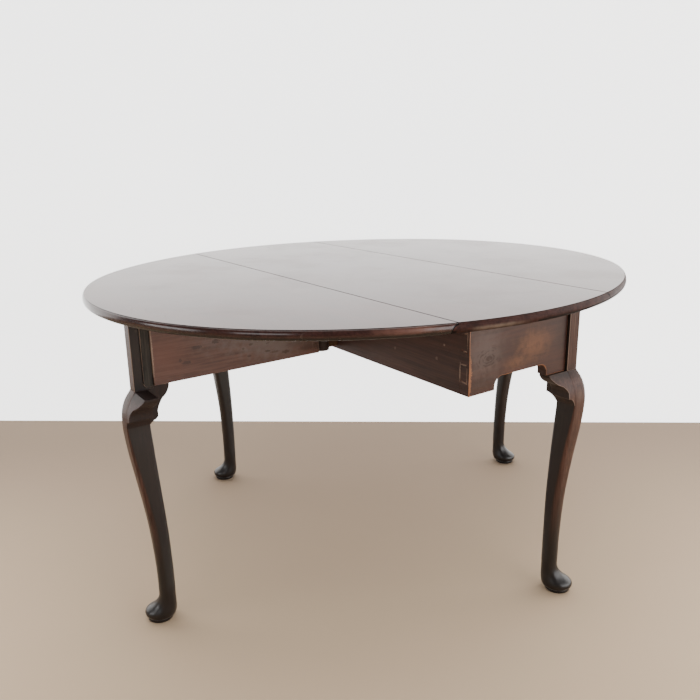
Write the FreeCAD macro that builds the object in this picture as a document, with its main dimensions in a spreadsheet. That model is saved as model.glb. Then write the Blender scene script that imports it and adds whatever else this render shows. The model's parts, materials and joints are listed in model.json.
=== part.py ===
import FreeCAD, Part
import math
import os
import re
import Sketcher

# An oval swing-leg drop-leaf table in mahogany: a fixed centre board on a narrow
# box frame, two leaves on rule joints, and two gates on wooden knuckle joints.
# +Z is up, Y runs along the leaf seams, and the origin is on the floor below the
# middle of the top. The gates stand open and the leaves lie level on them.
# The second half of the table is the first half turned half a turn about Z.

SIZES = {
    # the top: height from the floor, and the flat between its upper arrises
    "top_height": 720,
    "top_length": 1200,
    "top_width": 1352,
    "top_thickness": 21,
    "centre_width": 421,
    # thumb moulding round the rim
    "rim_step": 1.5,
    "rim_reach": 4,
    "rim_upper_round": 5,
    "rim_lower_round": 9,
    # rule joint between the centre board and a leaf
    "rule_fillet": 3.5,
    "rule_gap": 0.6,
    "hinge_pin_rise": 4,
    # how far apart the feet stand across the frame when the gates are closed
    "foot_spacing": 376,
    # square stile at the head of each leg
    "stile_stand_out": 5,
    "stile_thickness": 31,
    "stile_depth": 40,
    "rebate_width": 20,
    "rebate_depth": 4,
    # how much further out a swinging leg's stile and knee stand
    "gate_stand_out": 9,
    # cabriole shaft: half sides measured from the foot's centre line
    "knee_outer": 28,
    "knee_inner": 22,
    "ankle_set_in": 1.2,
    "ankle_inner": 34.5,
    "foot_height": 62,
    "toe_radius": 32,
    "pad_height": 8,
    # end aprons with a flat arch
    "apron_depth": 153,
    "apron_thickness": 24,
    "apron_setback": 7,
    "apron_corner_land": 72,
    "apron_leg_land": 60,
    "arch_rise": 27,
    "arch_radius": 20,
    "apron_tenon_length": 7,
    "apron_tenon_thickness": 9,
    "tenon_shoulder": 18,
    # inner rails, dovetailed to the aprons at one end
    "inner_frame_width": 250,
    "inner_rail_thickness": 22,
    "tail_length": 18,
    "tail_neck": 30,
    "tail_flare": 5,
    "tail_spacing": 62,
    "rail_relief_length": 60,
    # outer rails: one half fixed, the other half swinging
    "outer_rail_thickness": 36,
    "outer_rail_depth": 145,
    "rail_tenon_length": 24,
    "rail_tenon_thickness": 10,
    "packing_length": 62,
    "packing_start_gap": 6,
    "packing_end_gap": 31,
    # wooden knuckle joint of a gate
    "pivot_along": 69,
    "knuckle_pin_radius": 4,
    "pin_clearance": 0.05,
    "running_gap": 0.4,
    # ear brackets
    "rail_ear_length": 34,
    "plain_ear_length": 16,
    "end_ear_length": 58,
    # pegs
    "peg_radius": 3.5,
    "peg_spacing": 70,
    # glue blocks and their screws
    "corner_block_side": 46,
    "corner_block_height": 118,
    "glue_block_length": 70,
    "glue_block_side": 24,
    "glue_block_pitch": 300,
    "top_screw_radius": 2.5,
    "top_screw_head_radius": 5,
    "top_screw_head_height": 4,
    "top_screw_bite": 13,
    # flap hinges under the rule joints
    "hinge_width": 48,
    "hinge_spacing": 760,
    "hinge_plate_thickness": 2,
    "hinge_barrel_radius": 3,
    "hinge_pin_radius": 1.4,
    "hinge_frame_reach": 40,
    "hinge_leaf_reach": 62,
    "hinge_screw_radius": 1.8,
    "hinge_screw_length": 13,
}

# Places worked out from the sizes.
PLACES = {
    "underside": "top_height - top_thickness",
    "end_radius": "top_length * 0.46",
    "end_centre": "top_width / 2 - end_radius",
    "side_radius": "(end_centre ^ 2 + top_length ^ 2 / 4 - end_radius ^ 2) / (top_length - 2 * end_radius)",
    "side_centre": "side_radius - top_length / 2",
    "seam": "centre_width / 2",
    "pin_level": "underside + hinge_pin_rise",
    "rule_radius": "top_thickness - rule_fillet - hinge_pin_rise",
    "foot_x": "foot_spacing / 2",
    "foot_y": "top_length * 0.43",
    "stile_outer_x": "foot_x + stile_stand_out",
    "stile_inner_x": "stile_outer_x - stile_thickness",
    "stile_outer_y": "foot_y + stile_stand_out",
    "stile_inner_y": "stile_outer_y - stile_depth",
    "gate_outer_y": "stile_outer_y + gate_stand_out",
    "gate_inner_y": "stile_inner_y + gate_stand_out",
    "rail_outer_x": "stile_outer_x",
    "rail_inner_x": "rail_outer_x - outer_rail_thickness",
    "rail_bottom": "underside - outer_rail_depth",
    "apron_bottom": "underside - apron_depth",
    "apron_face": "stile_outer_y - apron_setback",
    "apron_back": "apron_face - apron_thickness",
    "frame_x": "inner_frame_width / 2",
    "frame_inner_x": "frame_x - inner_rail_thickness",
    "pivot_x": "rail_outer_x - outer_rail_thickness / 2",
    "gate_top": "underside - running_gap",
    "knee_level": "apron_bottom * 0.861",
    "packing_start": "packing_start_gap - pivot_along",
    "packing_pitch": "(apron_back - packing_end_gap - packing_length - packing_start) / 2",
    "finger_height": "outer_rail_depth / 5",
    "knuckle_radius": "outer_rail_thickness / 2",
    "tenon_bottom": "rail_bottom + tenon_shoulder",
    "tenon_top": "underside - tenon_shoulder",
    "hinge_clear": "hinge_pin_rise + rule_gap",
    "nose": "rule_radius + rule_gap",
    "arch_corner": "min(arch_radius; arch_rise - 1)",
    "rim_upper": "min(rim_upper_round; (top_thickness - rim_step) / 2 - 0.2)",
    "rim_lower": "min(rim_lower_round; (top_thickness - rim_step) / 2 - 0.2)",
}

ORIGIN_POINT = (-1, 1)
EDGE_ENDS = (1, 2)

doc = FreeCAD.newDocument("table")
sheet = doc.addObject("Spreadsheet::Sheet", "sizes")
for row, (alias, size) in enumerate(SIZES.items(), start=1):
    sheet.set(f"A{row}", alias)
    sheet.set(f"B{row}", str(size))
    sheet.setAlias(f"B{row}", alias)
places = doc.addObject("Spreadsheet::Sheet", "places")


def bound(text):
    """Point each size or place named in a formula at its cell."""

    def cell(match):
        word = match.group()
        if word in SIZES:
            return f"sizes.{word}"
        return f"places.{word}" if word in PLACES else word

    return re.sub(r"[a-z_]+", cell, str(text))


for row, (alias, formula) in enumerate(PLACES.items(), start=1):
    places.set(f"A{row}", alias)
    places.set(f"B{row}", "=" + bound(formula).replace("places.", ""))
    places.setAlias(f"B{row}", alias)
doc.recompute()


def number(text):
    """Value of a formula in millimetres."""
    result = sheet.evalExpression(bound(text))
    return float(getattr(result, "Value", result))


def bind(thing, **formulas):
    """Bind properties, with a double underscore for each dot of their path."""
    for path, formula in formulas.items():
        thing.setExpression(path.replace("__", "."), bound(formula))


def place(thing, x="0", y="0", z="0"):
    bind(thing, Placement__Base__x=x, Placement__Base__y=y, Placement__Base__z=z)
    return thing


def box(name, x, y, z):
    """A block between two formulas on each axis."""
    block = doc.addObject("Part::Box", name)
    bind(block, Length=f"({x[1]}) - ({x[0]})", Width=f"({y[1]}) - ({y[0]})")
    bind(block, Height=f"({z[1]}) - ({z[0]})")
    return place(block, x[0], y[0], z[0])


def upright(name, radius, x, y, z):
    """A round bar standing on Z."""
    bar = doc.addObject("Part::Cylinder", name)
    bind(bar, Radius=radius, Height=f"({z[1]}) - ({z[0]})")
    return place(bar, x, y, z[0])


def lying(name, radius, axis, start, length):
    """A round bar lying along X or Y from its start point."""
    bar = doc.addObject("Part::Cylinder", name)
    bind(bar, Radius=radius, Height=length)
    turn = (FreeCAD.Vector(0, 1, 0), 90) if axis == "x" else (FreeCAD.Vector(1, 0, 0), -90)
    bar.Placement = FreeCAD.Placement(FreeCAD.Vector(), FreeCAD.Rotation(*turn))
    return place(bar, *start)


def fuse(name, *shapes):
    joined = doc.addObject("Part::MultiFuse", name)
    joined.Shapes = list(shapes)
    return joined


def cut(name, base, *tools):
    result = doc.addObject("Part::Cut", name)
    result.Base = base
    result.Tool = tools[0] if len(tools) == 1 else fuse(name + "_tools", *tools)
    return result


def common(name, first, second):
    result = doc.addObject("Part::Common", name)
    result.Base = first
    result.Tool = second
    return result


def group(name, *shapes):
    together = doc.addObject("Part::Compound", name)
    together.Links = list(shapes)
    return together


def turned(name, source, angle, x="0", y="0", z="0"):
    """A copy of a piece, turned about Z and then moved."""
    copy = group(name, source)
    copy.Placement.Rotation = FreeCAD.Rotation(FreeCAD.Vector(0, 0, 1), angle)
    return place(copy, x, y, z)


def half_turn(name, source):
    return turned(name, source, 180)


def origin_plane(body, role):
    return next(plane for plane in body.Origin.OriginFeatures if plane.Role == role)


def flat_sketch(body, name, role, offset):
    """An empty sketch on one of a body's own planes, moved along its normal."""
    sketch = body.newObject("Sketcher::SketchObject", name)
    sketch.AttachmentSupport = [(origin_plane(body, role), "")]
    sketch.MapMode = "FlatFace"
    bind(sketch, AttachmentOffset__Base__z=offset)
    return sketch


def pin_point(sketch, geometry, end, x, y):
    """Hold a sketch point at two formulas from the sketch's origin."""
    for kind, formula in (("DistanceX", x), ("DistanceY", y)):
        held = Sketcher.Constraint(kind, *ORIGIN_POINT, geometry, end, number(formula))
        index = sketch.addConstraint(held)
        sketch.setExpression(f"Constraints[{index}]", bound(formula))


def arc_between(first, last, radius, left):
    """Counter-clockwise arc of a given radius, its centre left or right of the way."""
    chord = last - first
    half = chord.Length / 2
    rise = math.sqrt(max(radius * radius - half * half, 0))
    side = FreeCAD.Vector(-chord.y, chord.x, 0).normalize()
    centre = first + chord / 2 + side * (rise if left else -rise)
    away = (first + last) / 2 - centre
    if away.Length < 1e-6:
        away = side * (-1 if left else 1)
    middle = centre + away.normalize() * radius
    return Part.Arc(first, middle, last) if left else Part.Arc(last, middle, first)


def outline(sketch, points):
    """Closed outline. A point is (x, y), or (x, y, radius, side) where an arc
    leads to the next point with its centre on the left or right of the way."""
    spots = [FreeCAD.Vector(number(p[0]), number(p[1]), 0) for p in points]
    ends = []
    for index, point in enumerate(points):
        here, there = spots[index], spots[(index + 1) % len(points)]
        if len(point) == 2:
            edge = sketch.addGeometry(Part.LineSegment(here, there))
            ends.append((edge, *EDGE_ENDS))
            continue
        left = point[3] == "left"
        edge = sketch.addGeometry(arc_between(here, there, number(point[2]), left))
        ends.append((edge, *(EDGE_ENDS if left else EDGE_ENDS[::-1])))
    for index, (edge, _, last) in enumerate(ends):
        follower, follower_first, _ = ends[(index + 1) % len(ends)]
        joint = Sketcher.Constraint("Coincident", edge, last, follower, follower_first)
        sketch.addConstraint(joint)
    for (edge, first, _), point in zip(ends, points):
        pin_point(sketch, edge, first, point[0], point[1])
        if len(point) == 4:
            held = Sketcher.Constraint("Radius", edge, number(point[2]))
            index = sketch.addConstraint(held)
            sketch.setExpression(f"Constraints[{index}]", bound(point[2]))


def prism(name, role, points, low, high):
    """A body with one padded outline, between two places along its plane's axis."""
    body = doc.addObject("PartDesign::Body", name)
    start = f"-({high})" if role == "XZ_Plane" else low
    sketch = flat_sketch(body, name + "_outline", role, start)
    outline(sketch, points)
    pad = body.newObject("PartDesign::Pad", name + "_pad")
    pad.Profile = sketch
    bind(pad, Length=f"({high}) - ({low})")
    return body


def revolved(name, points):
    """A turned body: a half outline in XZ swept round the Z axis."""
    body = doc.addObject("PartDesign::Body", name)
    sketch = flat_sketch(body, name + "_outline", "XZ_Plane", "0")
    outline(sketch, points)
    turning = body.newObject("PartDesign::Revolution", name + "_turning")
    turning.Profile = sketch
    turning.ReferenceAxis = (sketch, ["V_Axis"])
    turning.Angle = 360
    return body


def oval_points(reach):
    """Outline of the top, drawn as a joiner does with two pairs of arcs: two of the
    end radius on X and two of the side radius on Y."""
    end, side = f"(end_radius + {reach})", f"(side_radius + {reach})"
    spread = "(side_radius - end_radius)"
    x = f"(end_centre + {end} * end_centre / {spread})"
    y = f"({end} * side_centre / {spread})"
    return [
        (x, f"-{y}", end, "left"),
        (x, y, side, "left"),
        (f"-{x}", y, end, "left"),
        (f"-{x}", f"-{y}", side, "left"),
    ]


UNDER_TURNS = (0, 45, 90)
OVER_TURNS = (90, 45, 0)


def moulded_top():
    """The whole oval before it is parted: a flat field standing a small step above
    a rim with a quarter round tucked under it and another over it."""
    body = doc.addObject("PartDesign::Body", "rim_slab")
    rim_top = "top_height - rim_step"
    stations = []
    rounds = ((UNDER_TURNS, "rim_lower", "underside +"), (OVER_TURNS, "rim_upper", f"{rim_top} -"))
    for turns, radius, start in rounds:
        for turn in turns:
            back, rise = 1 - math.sin(math.radians(turn)), 1 - math.cos(math.radians(turn))
            stations.append((f"(rim_reach - {radius} * {back:.4f})", f"{start} {radius} * {rise:.4f}"))
    sections = []
    for index, (reach, level) in enumerate(stations):
        sketch = flat_sketch(body, f"rim_{index}", "XY_Plane", level)
        outline(sketch, oval_points(reach))
        sections.append(sketch)
    loft = body.newObject("PartDesign::AdditiveLoft", "rim_loft")
    loft.Profile = sections[0]
    loft.Sections = sections[1:]
    loft.Ruled = True
    field = prism("field", "XY_Plane", oval_points("0"), "top_height - rim_step * 2", "top_height")
    return fuse("moulded_top", body, field)


MARGIN = 5


def centre_section():
    """Section of the centre board, with the ovolo of a rule joint on both sides."""
    low, high = f"underside - {MARGIN}", f"top_height + {MARGIN}"
    shoulder = "top_height - rule_fillet"
    points = [
        ("-(seam + rule_radius)", low),
        ("seam + rule_radius", low),
        ("seam + rule_radius", "pin_level", "rule_radius", "left"),
        ("seam", shoulder),
        ("seam", high),
        ("-seam", high),
        ("-seam", shoulder, "rule_radius", "left"),
        ("-(seam + rule_radius)", "pin_level"),
    ]
    return prism("centre_section", "XZ_Plane", points, "-top_length", "top_length")


def leaf_section():
    """Section of the left leaf, with the cove that rides over the ovolo."""
    low, high = f"underside - {MARGIN}", f"top_height + {MARGIN}"
    far = f"-(top_width / 2 + rim_reach + {MARGIN})"
    cove_top = "pin_level + sqrt(nose ^ 2 - rule_gap ^ 2)"
    points = [
        (far, low),
        ("-(seam + nose)", low),
        ("-(seam + nose)", "pin_level", "nose", "right"),
        ("-(seam + rule_gap)", cove_top),
        ("-(seam + rule_gap)", high),
        (far, high),
    ]
    return prism("leaf_section", "XZ_Plane", points, "-top_length", "top_length")


def hinge_places():
    return ["-hinge_spacing / 2", "hinge_spacing / 2"]


def hinge_span(middle, low=-0.5, high=0.5):
    """Part of a hinge's width, as shares of it from its middle."""
    return (f"{middle} + hinge_width * ({low})", f"{middle} + hinge_width * ({high})")


PLATE_Z = ("underside", "underside + hinge_plate_thickness")
THIRD = 1 / 6
SHY = 0.005
SHANK_SIDES = 4
HEAD_SIDES = 6
PEG_SIDES = 6
KNUCKLE_SIDES = 6
FINGER_SIDES = 12


def many_sided(name, sides, radius, x, y, z):
    """A small upright bar with flat sides."""
    bar = doc.addObject("Part::Prism", name)
    bar.Polygon = sides
    bind(bar, Circumradius=radius, Height=f"({z[1]}) - ({z[0]})")
    return place(bar, x, y, z[0])


def hinge_bar(name, radius, middle, low, high):
    """A round length on a left hinge's pin axis."""
    near, far = hinge_span(middle, low, high)
    return lying(name, radius, "y", ("-seam", near, "pin_level"), f"({far}) - ({near})")


def hinge_knuckle(name, middle, low, high):
    """A knuckle with flat sides on a left hinge's pin axis."""
    near, far = hinge_span(middle, low, high)
    knuckle = doc.addObject("Part::Prism", name)
    knuckle.Polygon = KNUCKLE_SIDES
    bind(knuckle, Circumradius="hinge_barrel_radius", Height=f"({far}) - ({near})")
    knuckle.Placement.Rotation = FreeCAD.Rotation(FreeCAD.Vector(1, 0, 0), -90)
    return place(knuckle, "-seam", near, "pin_level")


def screw_pair(name, middle, near, far):
    """Shanks of the two screws of a plate, staggered along it. Their heads are flush."""
    pair = []
    for tag, share, side in (("a", 0.28, 0.26), ("b", 0.74, -0.26)):
        x = f"({near}) + (({far}) - ({near})) * {share}"
        y = f"{middle} + hinge_width * {side}"
        level = (PLATE_Z[1], "underside + hinge_screw_length")
        pair.append(many_sided(f"{name}_{tag}", SHANK_SIDES, "hinge_screw_radius", x, y, level))
    return pair


def left_hinge(tag, middle):
    """One flap hinge on the left seam: its two plates with their screws, and what is
    cut from the two boards for it. The pin is fast in the frame plate's knuckles."""
    width = hinge_span(middle)
    inner, outer = "-seam + hinge_clear", "-seam + hinge_frame_reach"
    frame_screws = screw_pair(tag + "_frame_screw", middle, inner, outer)
    pieces = [box(tag + "_frame_flap", (inner, outer), width, PLATE_Z), *frame_screws]
    for side, (low, high) in enumerate(((-0.5, -THIRD - SHY), (THIRD + SHY, 0.5))):
        pieces.append(hinge_knuckle(f"{tag}_frame_knuckle_{side}", middle, low, high))
        span = hinge_span(middle, low, high)
        pieces.append(box(f"{tag}_frame_tab_{side}", ("-seam", inner), span, PLATE_Z))
    pieces.append(hinge_bar(tag + "_pin", "hinge_pin_radius", middle, -THIRD - SHY, THIRD + SHY))
    frame_plate = fuse(tag + "_frame_plate", *pieces)

    near, far = "-(seam + hinge_clear)", "-(seam + hinge_leaf_reach)"
    leaf_screws = screw_pair(tag + "_leaf_screw", middle, "-(seam + nose)", far)
    third = (-THIRD + SHY, THIRD - SHY)
    blank = fuse(
        tag + "_leaf_blank",
        box(tag + "_leaf_flap", (far, near), width, PLATE_Z),
        box(tag + "_leaf_tab", (near, "-seam"), hinge_span(middle, *third), PLATE_Z),
        hinge_knuckle(tag + "_leaf_knuckle", middle, *third),
        *leaf_screws,
    )
    bore = hinge_bar(tag + "_bore", "hinge_pin_radius + pin_clearance", middle, -0.5, 0.5)
    leaf_plate = cut(tag + "_leaf_plate", blank, bore)

    below = f"underside - {MARGIN}"
    barrel_top = "pin_level + hinge_barrel_radius + rule_gap"
    board_recess = fuse(
        tag + "_board_recess",
        box(tag + "_flap_recess", ("-seam", outer), width, (below, PLATE_Z[1])),
        box(tag + "_barrel_slot", (near, inner), width, (below, barrel_top)),
        box(tag + "_nose_gain", (f"-(seam + nose + {MARGIN})", "-seam"), width,
            (below, f"{PLATE_Z[1]} + rule_gap")),
        *frame_screws,
    )
    leaf_flap = box(tag + "_leaf_recess", (far, "-(seam + rule_radius)"), width, (below, PLATE_Z[1]))
    return frame_plate, leaf_plate, board_recess, fuse(tag + "_leaf_room", leaf_flap, *leaf_screws)


# A cabriole shaft is sawn from a square blank in two directions, and then its corners
# are worked off in the two diagonal directions. Each row gives one direction's half
# widths from the foot's centre: outside at the stile, above and below the knee and at
# the ankle, and inside at the stile, the knee and the ankle.
KNEE_START, KNEE_END, ANKLE = 0.916, 0.769, 0.15


def shaft_profile(outer, inner):
    """Outline of the shaft from one direction, with its outer side to +X."""
    head_outer, start_outer, end_outer, ankle_outer = outer
    head_inner, full_inner, ankle_inner = inner
    start, end, ankle = (f"apron_bottom * {share}" for share in (KNEE_START, KNEE_END, ANKLE))
    sole = "pad_height + 1"
    return [
        (f"-({ankle_inner})", sole),
        (ankle_outer, sole),
        (ankle_outer, ankle, "apron_bottom * 4", "right"),
        (end_outer, end, "apron_bottom / 2", "left"),
        (start_outer, start, "apron_bottom / 7", "left"),
        (head_outer, "apron_bottom"),
        (f"-({head_inner})", "apron_bottom"),
        (f"-({full_inner})", "knee_level"),
        (f"-({ankle_inner})", ankle),
    ]


def sawn(name, outer, inner, angle, lean):
    """One sawing of the shaft, right through the blank. A lean moves the stile and
    the knee outward and leaves the ankle where it is."""
    outer = [f"{side} + {lean}" for side in outer[:3]] + [outer[3]]
    inner = [f"{side} - {lean}" for side in inner[:2]] + [inner[2]]
    cutting = prism(name, "XZ_Plane", shaft_profile(outer, inner), "-stile_depth * 2", "stile_depth * 2")
    return turned(name + "_turned", cutting, angle)


def cabriole_shaft(tag, lean):
    """Shaft and turned club foot of a leg, with the foot's centre on the Z axis and
    the outer corner to +X and -Y. The knee leans to +X."""
    ankle = "(ankle_inner - ankle_set_in)"
    slant = f"{lean} * 0.707"
    head_inner = "(stile_thickness - stile_stand_out)"
    outer = ("stile_stand_out", "knee_outer * 0.94", "knee_outer * 0.86", "-ankle_set_in")
    inner = (head_inner, "knee_inner", "ankle_inner")
    corner = ("stile_stand_out * 1.3", "knee_outer", "knee_outer * 0.89",
              f"-ankle_set_in * 1.41 - {ankle} * 0.2")
    back = (f"{head_inner} * 1.37", "knee_inner * 1.36", f"ankle_inner * 1.41 - {ankle} * 0.2")
    knee = "(knee_outer + knee_inner)"
    flank = ("stile_thickness * 0.7", f"{knee} * 0.68", f"{knee} * 0.64", f"{ankle} * 0.507")
    other_flank = (flank[0], f"{knee} * 0.682", flank[3])
    side = sawn(f"{tag}_side", outer, inner, 0, lean)
    squared = common(f"{tag}_squared", side, sawn(f"{tag}_end", outer, inner, -90, "0"))
    cornered = common(f"{tag}_cornered", squared, sawn(f"{tag}_corner", corner, back, -45, slant))
    worked = common(f"{tag}_worked", cornered, sawn(f"{tag}_flank", flank, other_flank, 45, slant))
    foot = revolved(f"{tag}_foot", [
        ("0", "0"),
        ("toe_radius * 0.84", "0"),
        ("toe_radius * 0.84", "pad_height"),
        ("toe_radius", "foot_height * 0.3"),
        ("0", "foot_height * 0.86"),
    ])
    return fuse(tag, worked, foot)


def apron_outline():
    """Front apron seen from the front, with a flat arch cut from its lower edge."""
    arch_left, arch_right = "-frame_x + apron_corner_land", "stile_inner_x - apron_leg_land"
    spring, crown = "apron_bottom + arch_rise - arch_corner", "apron_bottom + arch_rise"
    return [
        ("-frame_x", "apron_bottom"),
        (arch_left, "apron_bottom"),
        (arch_left, spring, "arch_corner", "right"),
        (f"{arch_left} + arch_corner", crown),
        (f"{arch_right} - arch_corner", crown, "arch_corner", "right"),
        (arch_right, spring),
        (arch_right, "apron_bottom"),
        ("stile_inner_x", "apron_bottom"),
        ("stile_inner_x", "underside"),
        ("-frame_x", "underside"),
    ]


def dovetail(name, level):
    """One tail on the end of the left inner rail, seen from its side."""
    root, end = "-apron_back", "-(apron_back + tail_length)"
    neck, flare = "tail_neck / 2", "(tail_neck / 2 + tail_flare)"
    points = [
        (end, f"{level} - {flare}"),
        (root, f"{level} - {neck}"),
        (root, f"{level} + {neck}"),
        (end, f"{level} + {flare}"),
    ]
    return prism(name, "YZ_Plane", points, "-frame_x", "-frame_inner_x")


def rail_tenon(name, side_x, side_y, shoulder):
    """Tenon between an outer rail and a stile, in one quarter of the plan."""
    across = sorted((f"{side_x} * pivot_x {sign} rail_tenon_thickness / 2" for sign in "-+"), key=number)
    along = sorted((f"{side_y} * ({shoulder} + {reach})" for reach in ("0", "rail_tenon_length")), key=number)
    return box(name, across, along, ("tenon_bottom", "tenon_top"))


def peg_pair(name, side_x, side_y, shoulder):
    """Two shaved pegs through a stile and the tenon in it."""
    pair = []
    y = f"{side_y} * ({shoulder} + rail_tenon_length / 2)"
    start = "stile_inner_x" if side_x > 0 else "-stile_outer_x"
    for tag, sign in (("low", "-"), ("high", "+")):
        peg = doc.addObject("Part::Prism", f"{name}_{tag}")
        peg.Polygon = PEG_SIDES
        bind(peg, Circumradius="peg_radius", Height="stile_thickness")
        peg.Placement.Rotation = FreeCAD.Rotation(FreeCAD.Vector(0, 1, 0), 90)
        pair.append(place(peg, start, y, f"(rail_bottom + underside) / 2 {sign} peg_spacing / 2"))
    return pair


PIVOT = ("-pivot_x", "-pivot_along")


def finger_span(level, ends):
    """Height of one finger of a wooden knuckle, with its two end allowances."""
    low = f"rail_bottom + finger_height * {level} + {ends[0]}"
    return low, f"rail_bottom + finger_height * {level + 1} + {ends[1]}"


def knuckle_rounds(name, levels, ends):
    """Round ends about the left pivot, one for each finger of a rail."""
    return [many_sided(f"{name}_{level}", FINGER_SIDES, "knuckle_radius", *PIVOT, finger_span(level, ends))
            for level in levels]


def knuckle_room(name, levels, ends, along):
    """Slots for the other rail's fingers, with square shoulders to stop the gate."""
    across = (f"-rail_outer_x - {MARGIN}", f"-rail_inner_x + {MARGIN}")
    return [box(f"{name}_{level}", across, along, finger_span(level, ends)) for level in levels]


FIXED_FINGERS = (0, 2, 4)
FLY_FINGERS = (1, 3)
# Scrolls of ear brackets seen from the side, from the heel to the tip: share of the
# length out from the stile, share of the height down from the top, and how the edge
# goes on from there, as a line or as an arc with a share of the height for its radius.
LINE, HOLLOW, ROUND = "line", "hollow", "round"
RAIL_SCROLL = (
    (0.0, 0.90, LINE, 0),
    (0.16, 0.84, LINE, 0),
    (0.16, 0.68, HOLLOW, 0.9),
    (0.52, 0.38, ROUND, 0.45),
)
END_SCROLL = (
    (0.10, 0.77, LINE, 0),
    (0.28, 0.73, LINE, 0),
    (0.27, 0.56, HOLLOW, 0.4),
    (0.58, 0.32, ROUND, 0.7),
)
PLAIN_SCROLL = ((1.0, 0.82, LINE, 0),)


def ear(name, role, land, length, top, scroll):
    """Ear bracket at the front right leg, from the knee up to a rail or apron. It
    reaches away from the leg along X or Y, and swells to meet the knee outside."""
    along_x = role == "XZ_Plane"
    outer = "stile_outer_x" if along_x else "-stile_outer_y"
    height = f"({top} - knee_level)"

    def out(distance):
        return f"{outer} - ({distance})" if along_x else f"{outer} + ({distance})"

    def spot(share, drop, way, radius):
        point = (out(f"{land} + {length} * {share}"), f"{top} - {height} * {drop}")
        return point if way == LINE else point + (f"{height} * {radius}", sides[way])

    slope = "(stile_thickness - stile_stand_out - knee_inner) / (apron_bottom - knee_level)"
    start = f"min({top}; apron_bottom)"
    knee_side = "stile_stand_out + knee_inner"
    sides = {ROUND: "right", HOLLOW: "left"} if along_x else {ROUND: "left", HOLLOW: "right"}
    tip = out(f"{land} + {length}")
    points = [
        (out(f"{knee_side} + {slope} * ({start} - knee_level)"), start),
        (out(knee_side), "knee_level", f"{height} * 0.45", sides[HOLLOW]),
        *(spot(*turn) for turn in scroll),
        (tip, f"{top} - {height} * 0.06"),
        (tip, top),
    ]
    swell = f"({top} - knee_level) * 1.3"
    reach = sorted((out("stile_stand_out"), tip), key=number)
    if along_x:
        back, face, knee = "-(foot_y - knee_inner)", "-stile_outer_y", "-(foot_y + knee_outer)"
        side = prism(name + "_side", role, points, f"{knee} - {MARGIN}", back)
        section = [(back, top), (face, top, swell, "left"), (knee, "knee_level"), (back, "knee_level")]
        body = prism(name + "_swell", "YZ_Plane", section, *reach)
    else:
        points += [(out(land), top), (out(land), "apron_bottom")]
        back, face, knee = "foot_x - knee_inner", "stile_outer_x", "foot_x + knee_outer"
        side = prism(name + "_side", role, points, back, f"{knee} + {MARGIN}")
        section = [(back, "knee_level"), (knee, "knee_level", swell, "left"), (face, top), (back, top)]
        body = prism(name + "_swell", "XZ_Plane", section, *reach)
    return common(name, side, body)


top = moulded_top()

# the three boards of the top, their flap hinges and hinge screws
hinges = [left_hinge(f"hinge_{index}", middle) for index, middle in enumerate(hinge_places(), start=1)]
frame_plates, leaf_plates, board_recesses, leaf_recesses = zip(*hinges)
left_hinge_frame_plates = group("left_hinge_frame_plates", *frame_plates)
left_hinge_leaf_plates = group("left_hinge_leaf_plates", *leaf_plates)
left_board_room = group("left_board_room", *board_recesses)
left_leaf = cut("left_leaf", common("leaf_board", top, leaf_section()), *leaf_recesses)

# screws that hold the top down, driven up through blocks glued to the inner rails
block_x = ("-frame_inner_x", "-frame_inner_x + glue_block_side")
block_z = ("underside - glue_block_side", "underside")
head_z = (f"{block_z[0]} - top_screw_head_height", block_z[0])
blocks, screws = [], []
for index in (-1, 0, 1):
    tag = f"block_{index + 2}"
    middle = f"glue_block_pitch * ({index})"
    x = "-frame_inner_x + glue_block_side / 2"
    head = many_sided(tag + "_screw_head", HEAD_SIDES, "top_screw_head_radius", x, middle, head_z)
    shank = many_sided(tag + "_screw_shank", SHANK_SIDES, "top_screw_radius", x, middle,
                       (block_z[0], "underside + top_screw_bite"))
    screw = fuse(tag + "_screw", head, shank)
    length = (f"{middle} - glue_block_length / 2", f"{middle} + glue_block_length / 2")
    blocks.append(cut(tag, box(tag + "_blank", block_x, length, block_z), screw))
    screws.append(screw)
left_blocks = group("left_blocks", *blocks)
left_screws = group("left_screws", *screws)
top_glue_blocks = group("top_glue_blocks", left_blocks, half_turn("right_blocks", left_blocks))
top_screws = group("top_screws", left_screws, half_turn("right_screws", left_screws))
centre_top = cut("centre_top", common("centre_board", top, centre_section()), left_board_room,
                 half_turn("right_board_room", left_board_room), top_screws)

# box frame: aprons, inner rails dovetailed to them, and blocks in the corners
middle_level = "(apron_bottom + underside) / 2"
tails = [dovetail(f"tail_{tag}", f"{middle_level} {sign} tail_spacing / 2")
         for tag, sign in (("low", "-"), ("high", "+"))]
tenon_middle = "-(apron_face + apron_back) / 2"
apron_tenon = box("apron_tenon", ("stile_inner_x", "stile_inner_x + apron_tenon_length"),
                  [f"{tenon_middle} {sign} apron_tenon_thickness / 2" for sign in "-+"],
                  ("apron_bottom + tenon_shoulder", "underside - tenon_shoulder"))
apron_board = prism("apron_board", "XZ_Plane", apron_outline(), "-apron_face", "-apron_back")
front_apron = cut("front_apron", fuse("apron_blank", apron_board, apron_tenon), *tails)
rail_board = box("inner_rail_board", ("-frame_x", "-frame_inner_x"), ("-apron_back", "apron_back"),
                 ("apron_bottom", "underside"))
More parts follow.
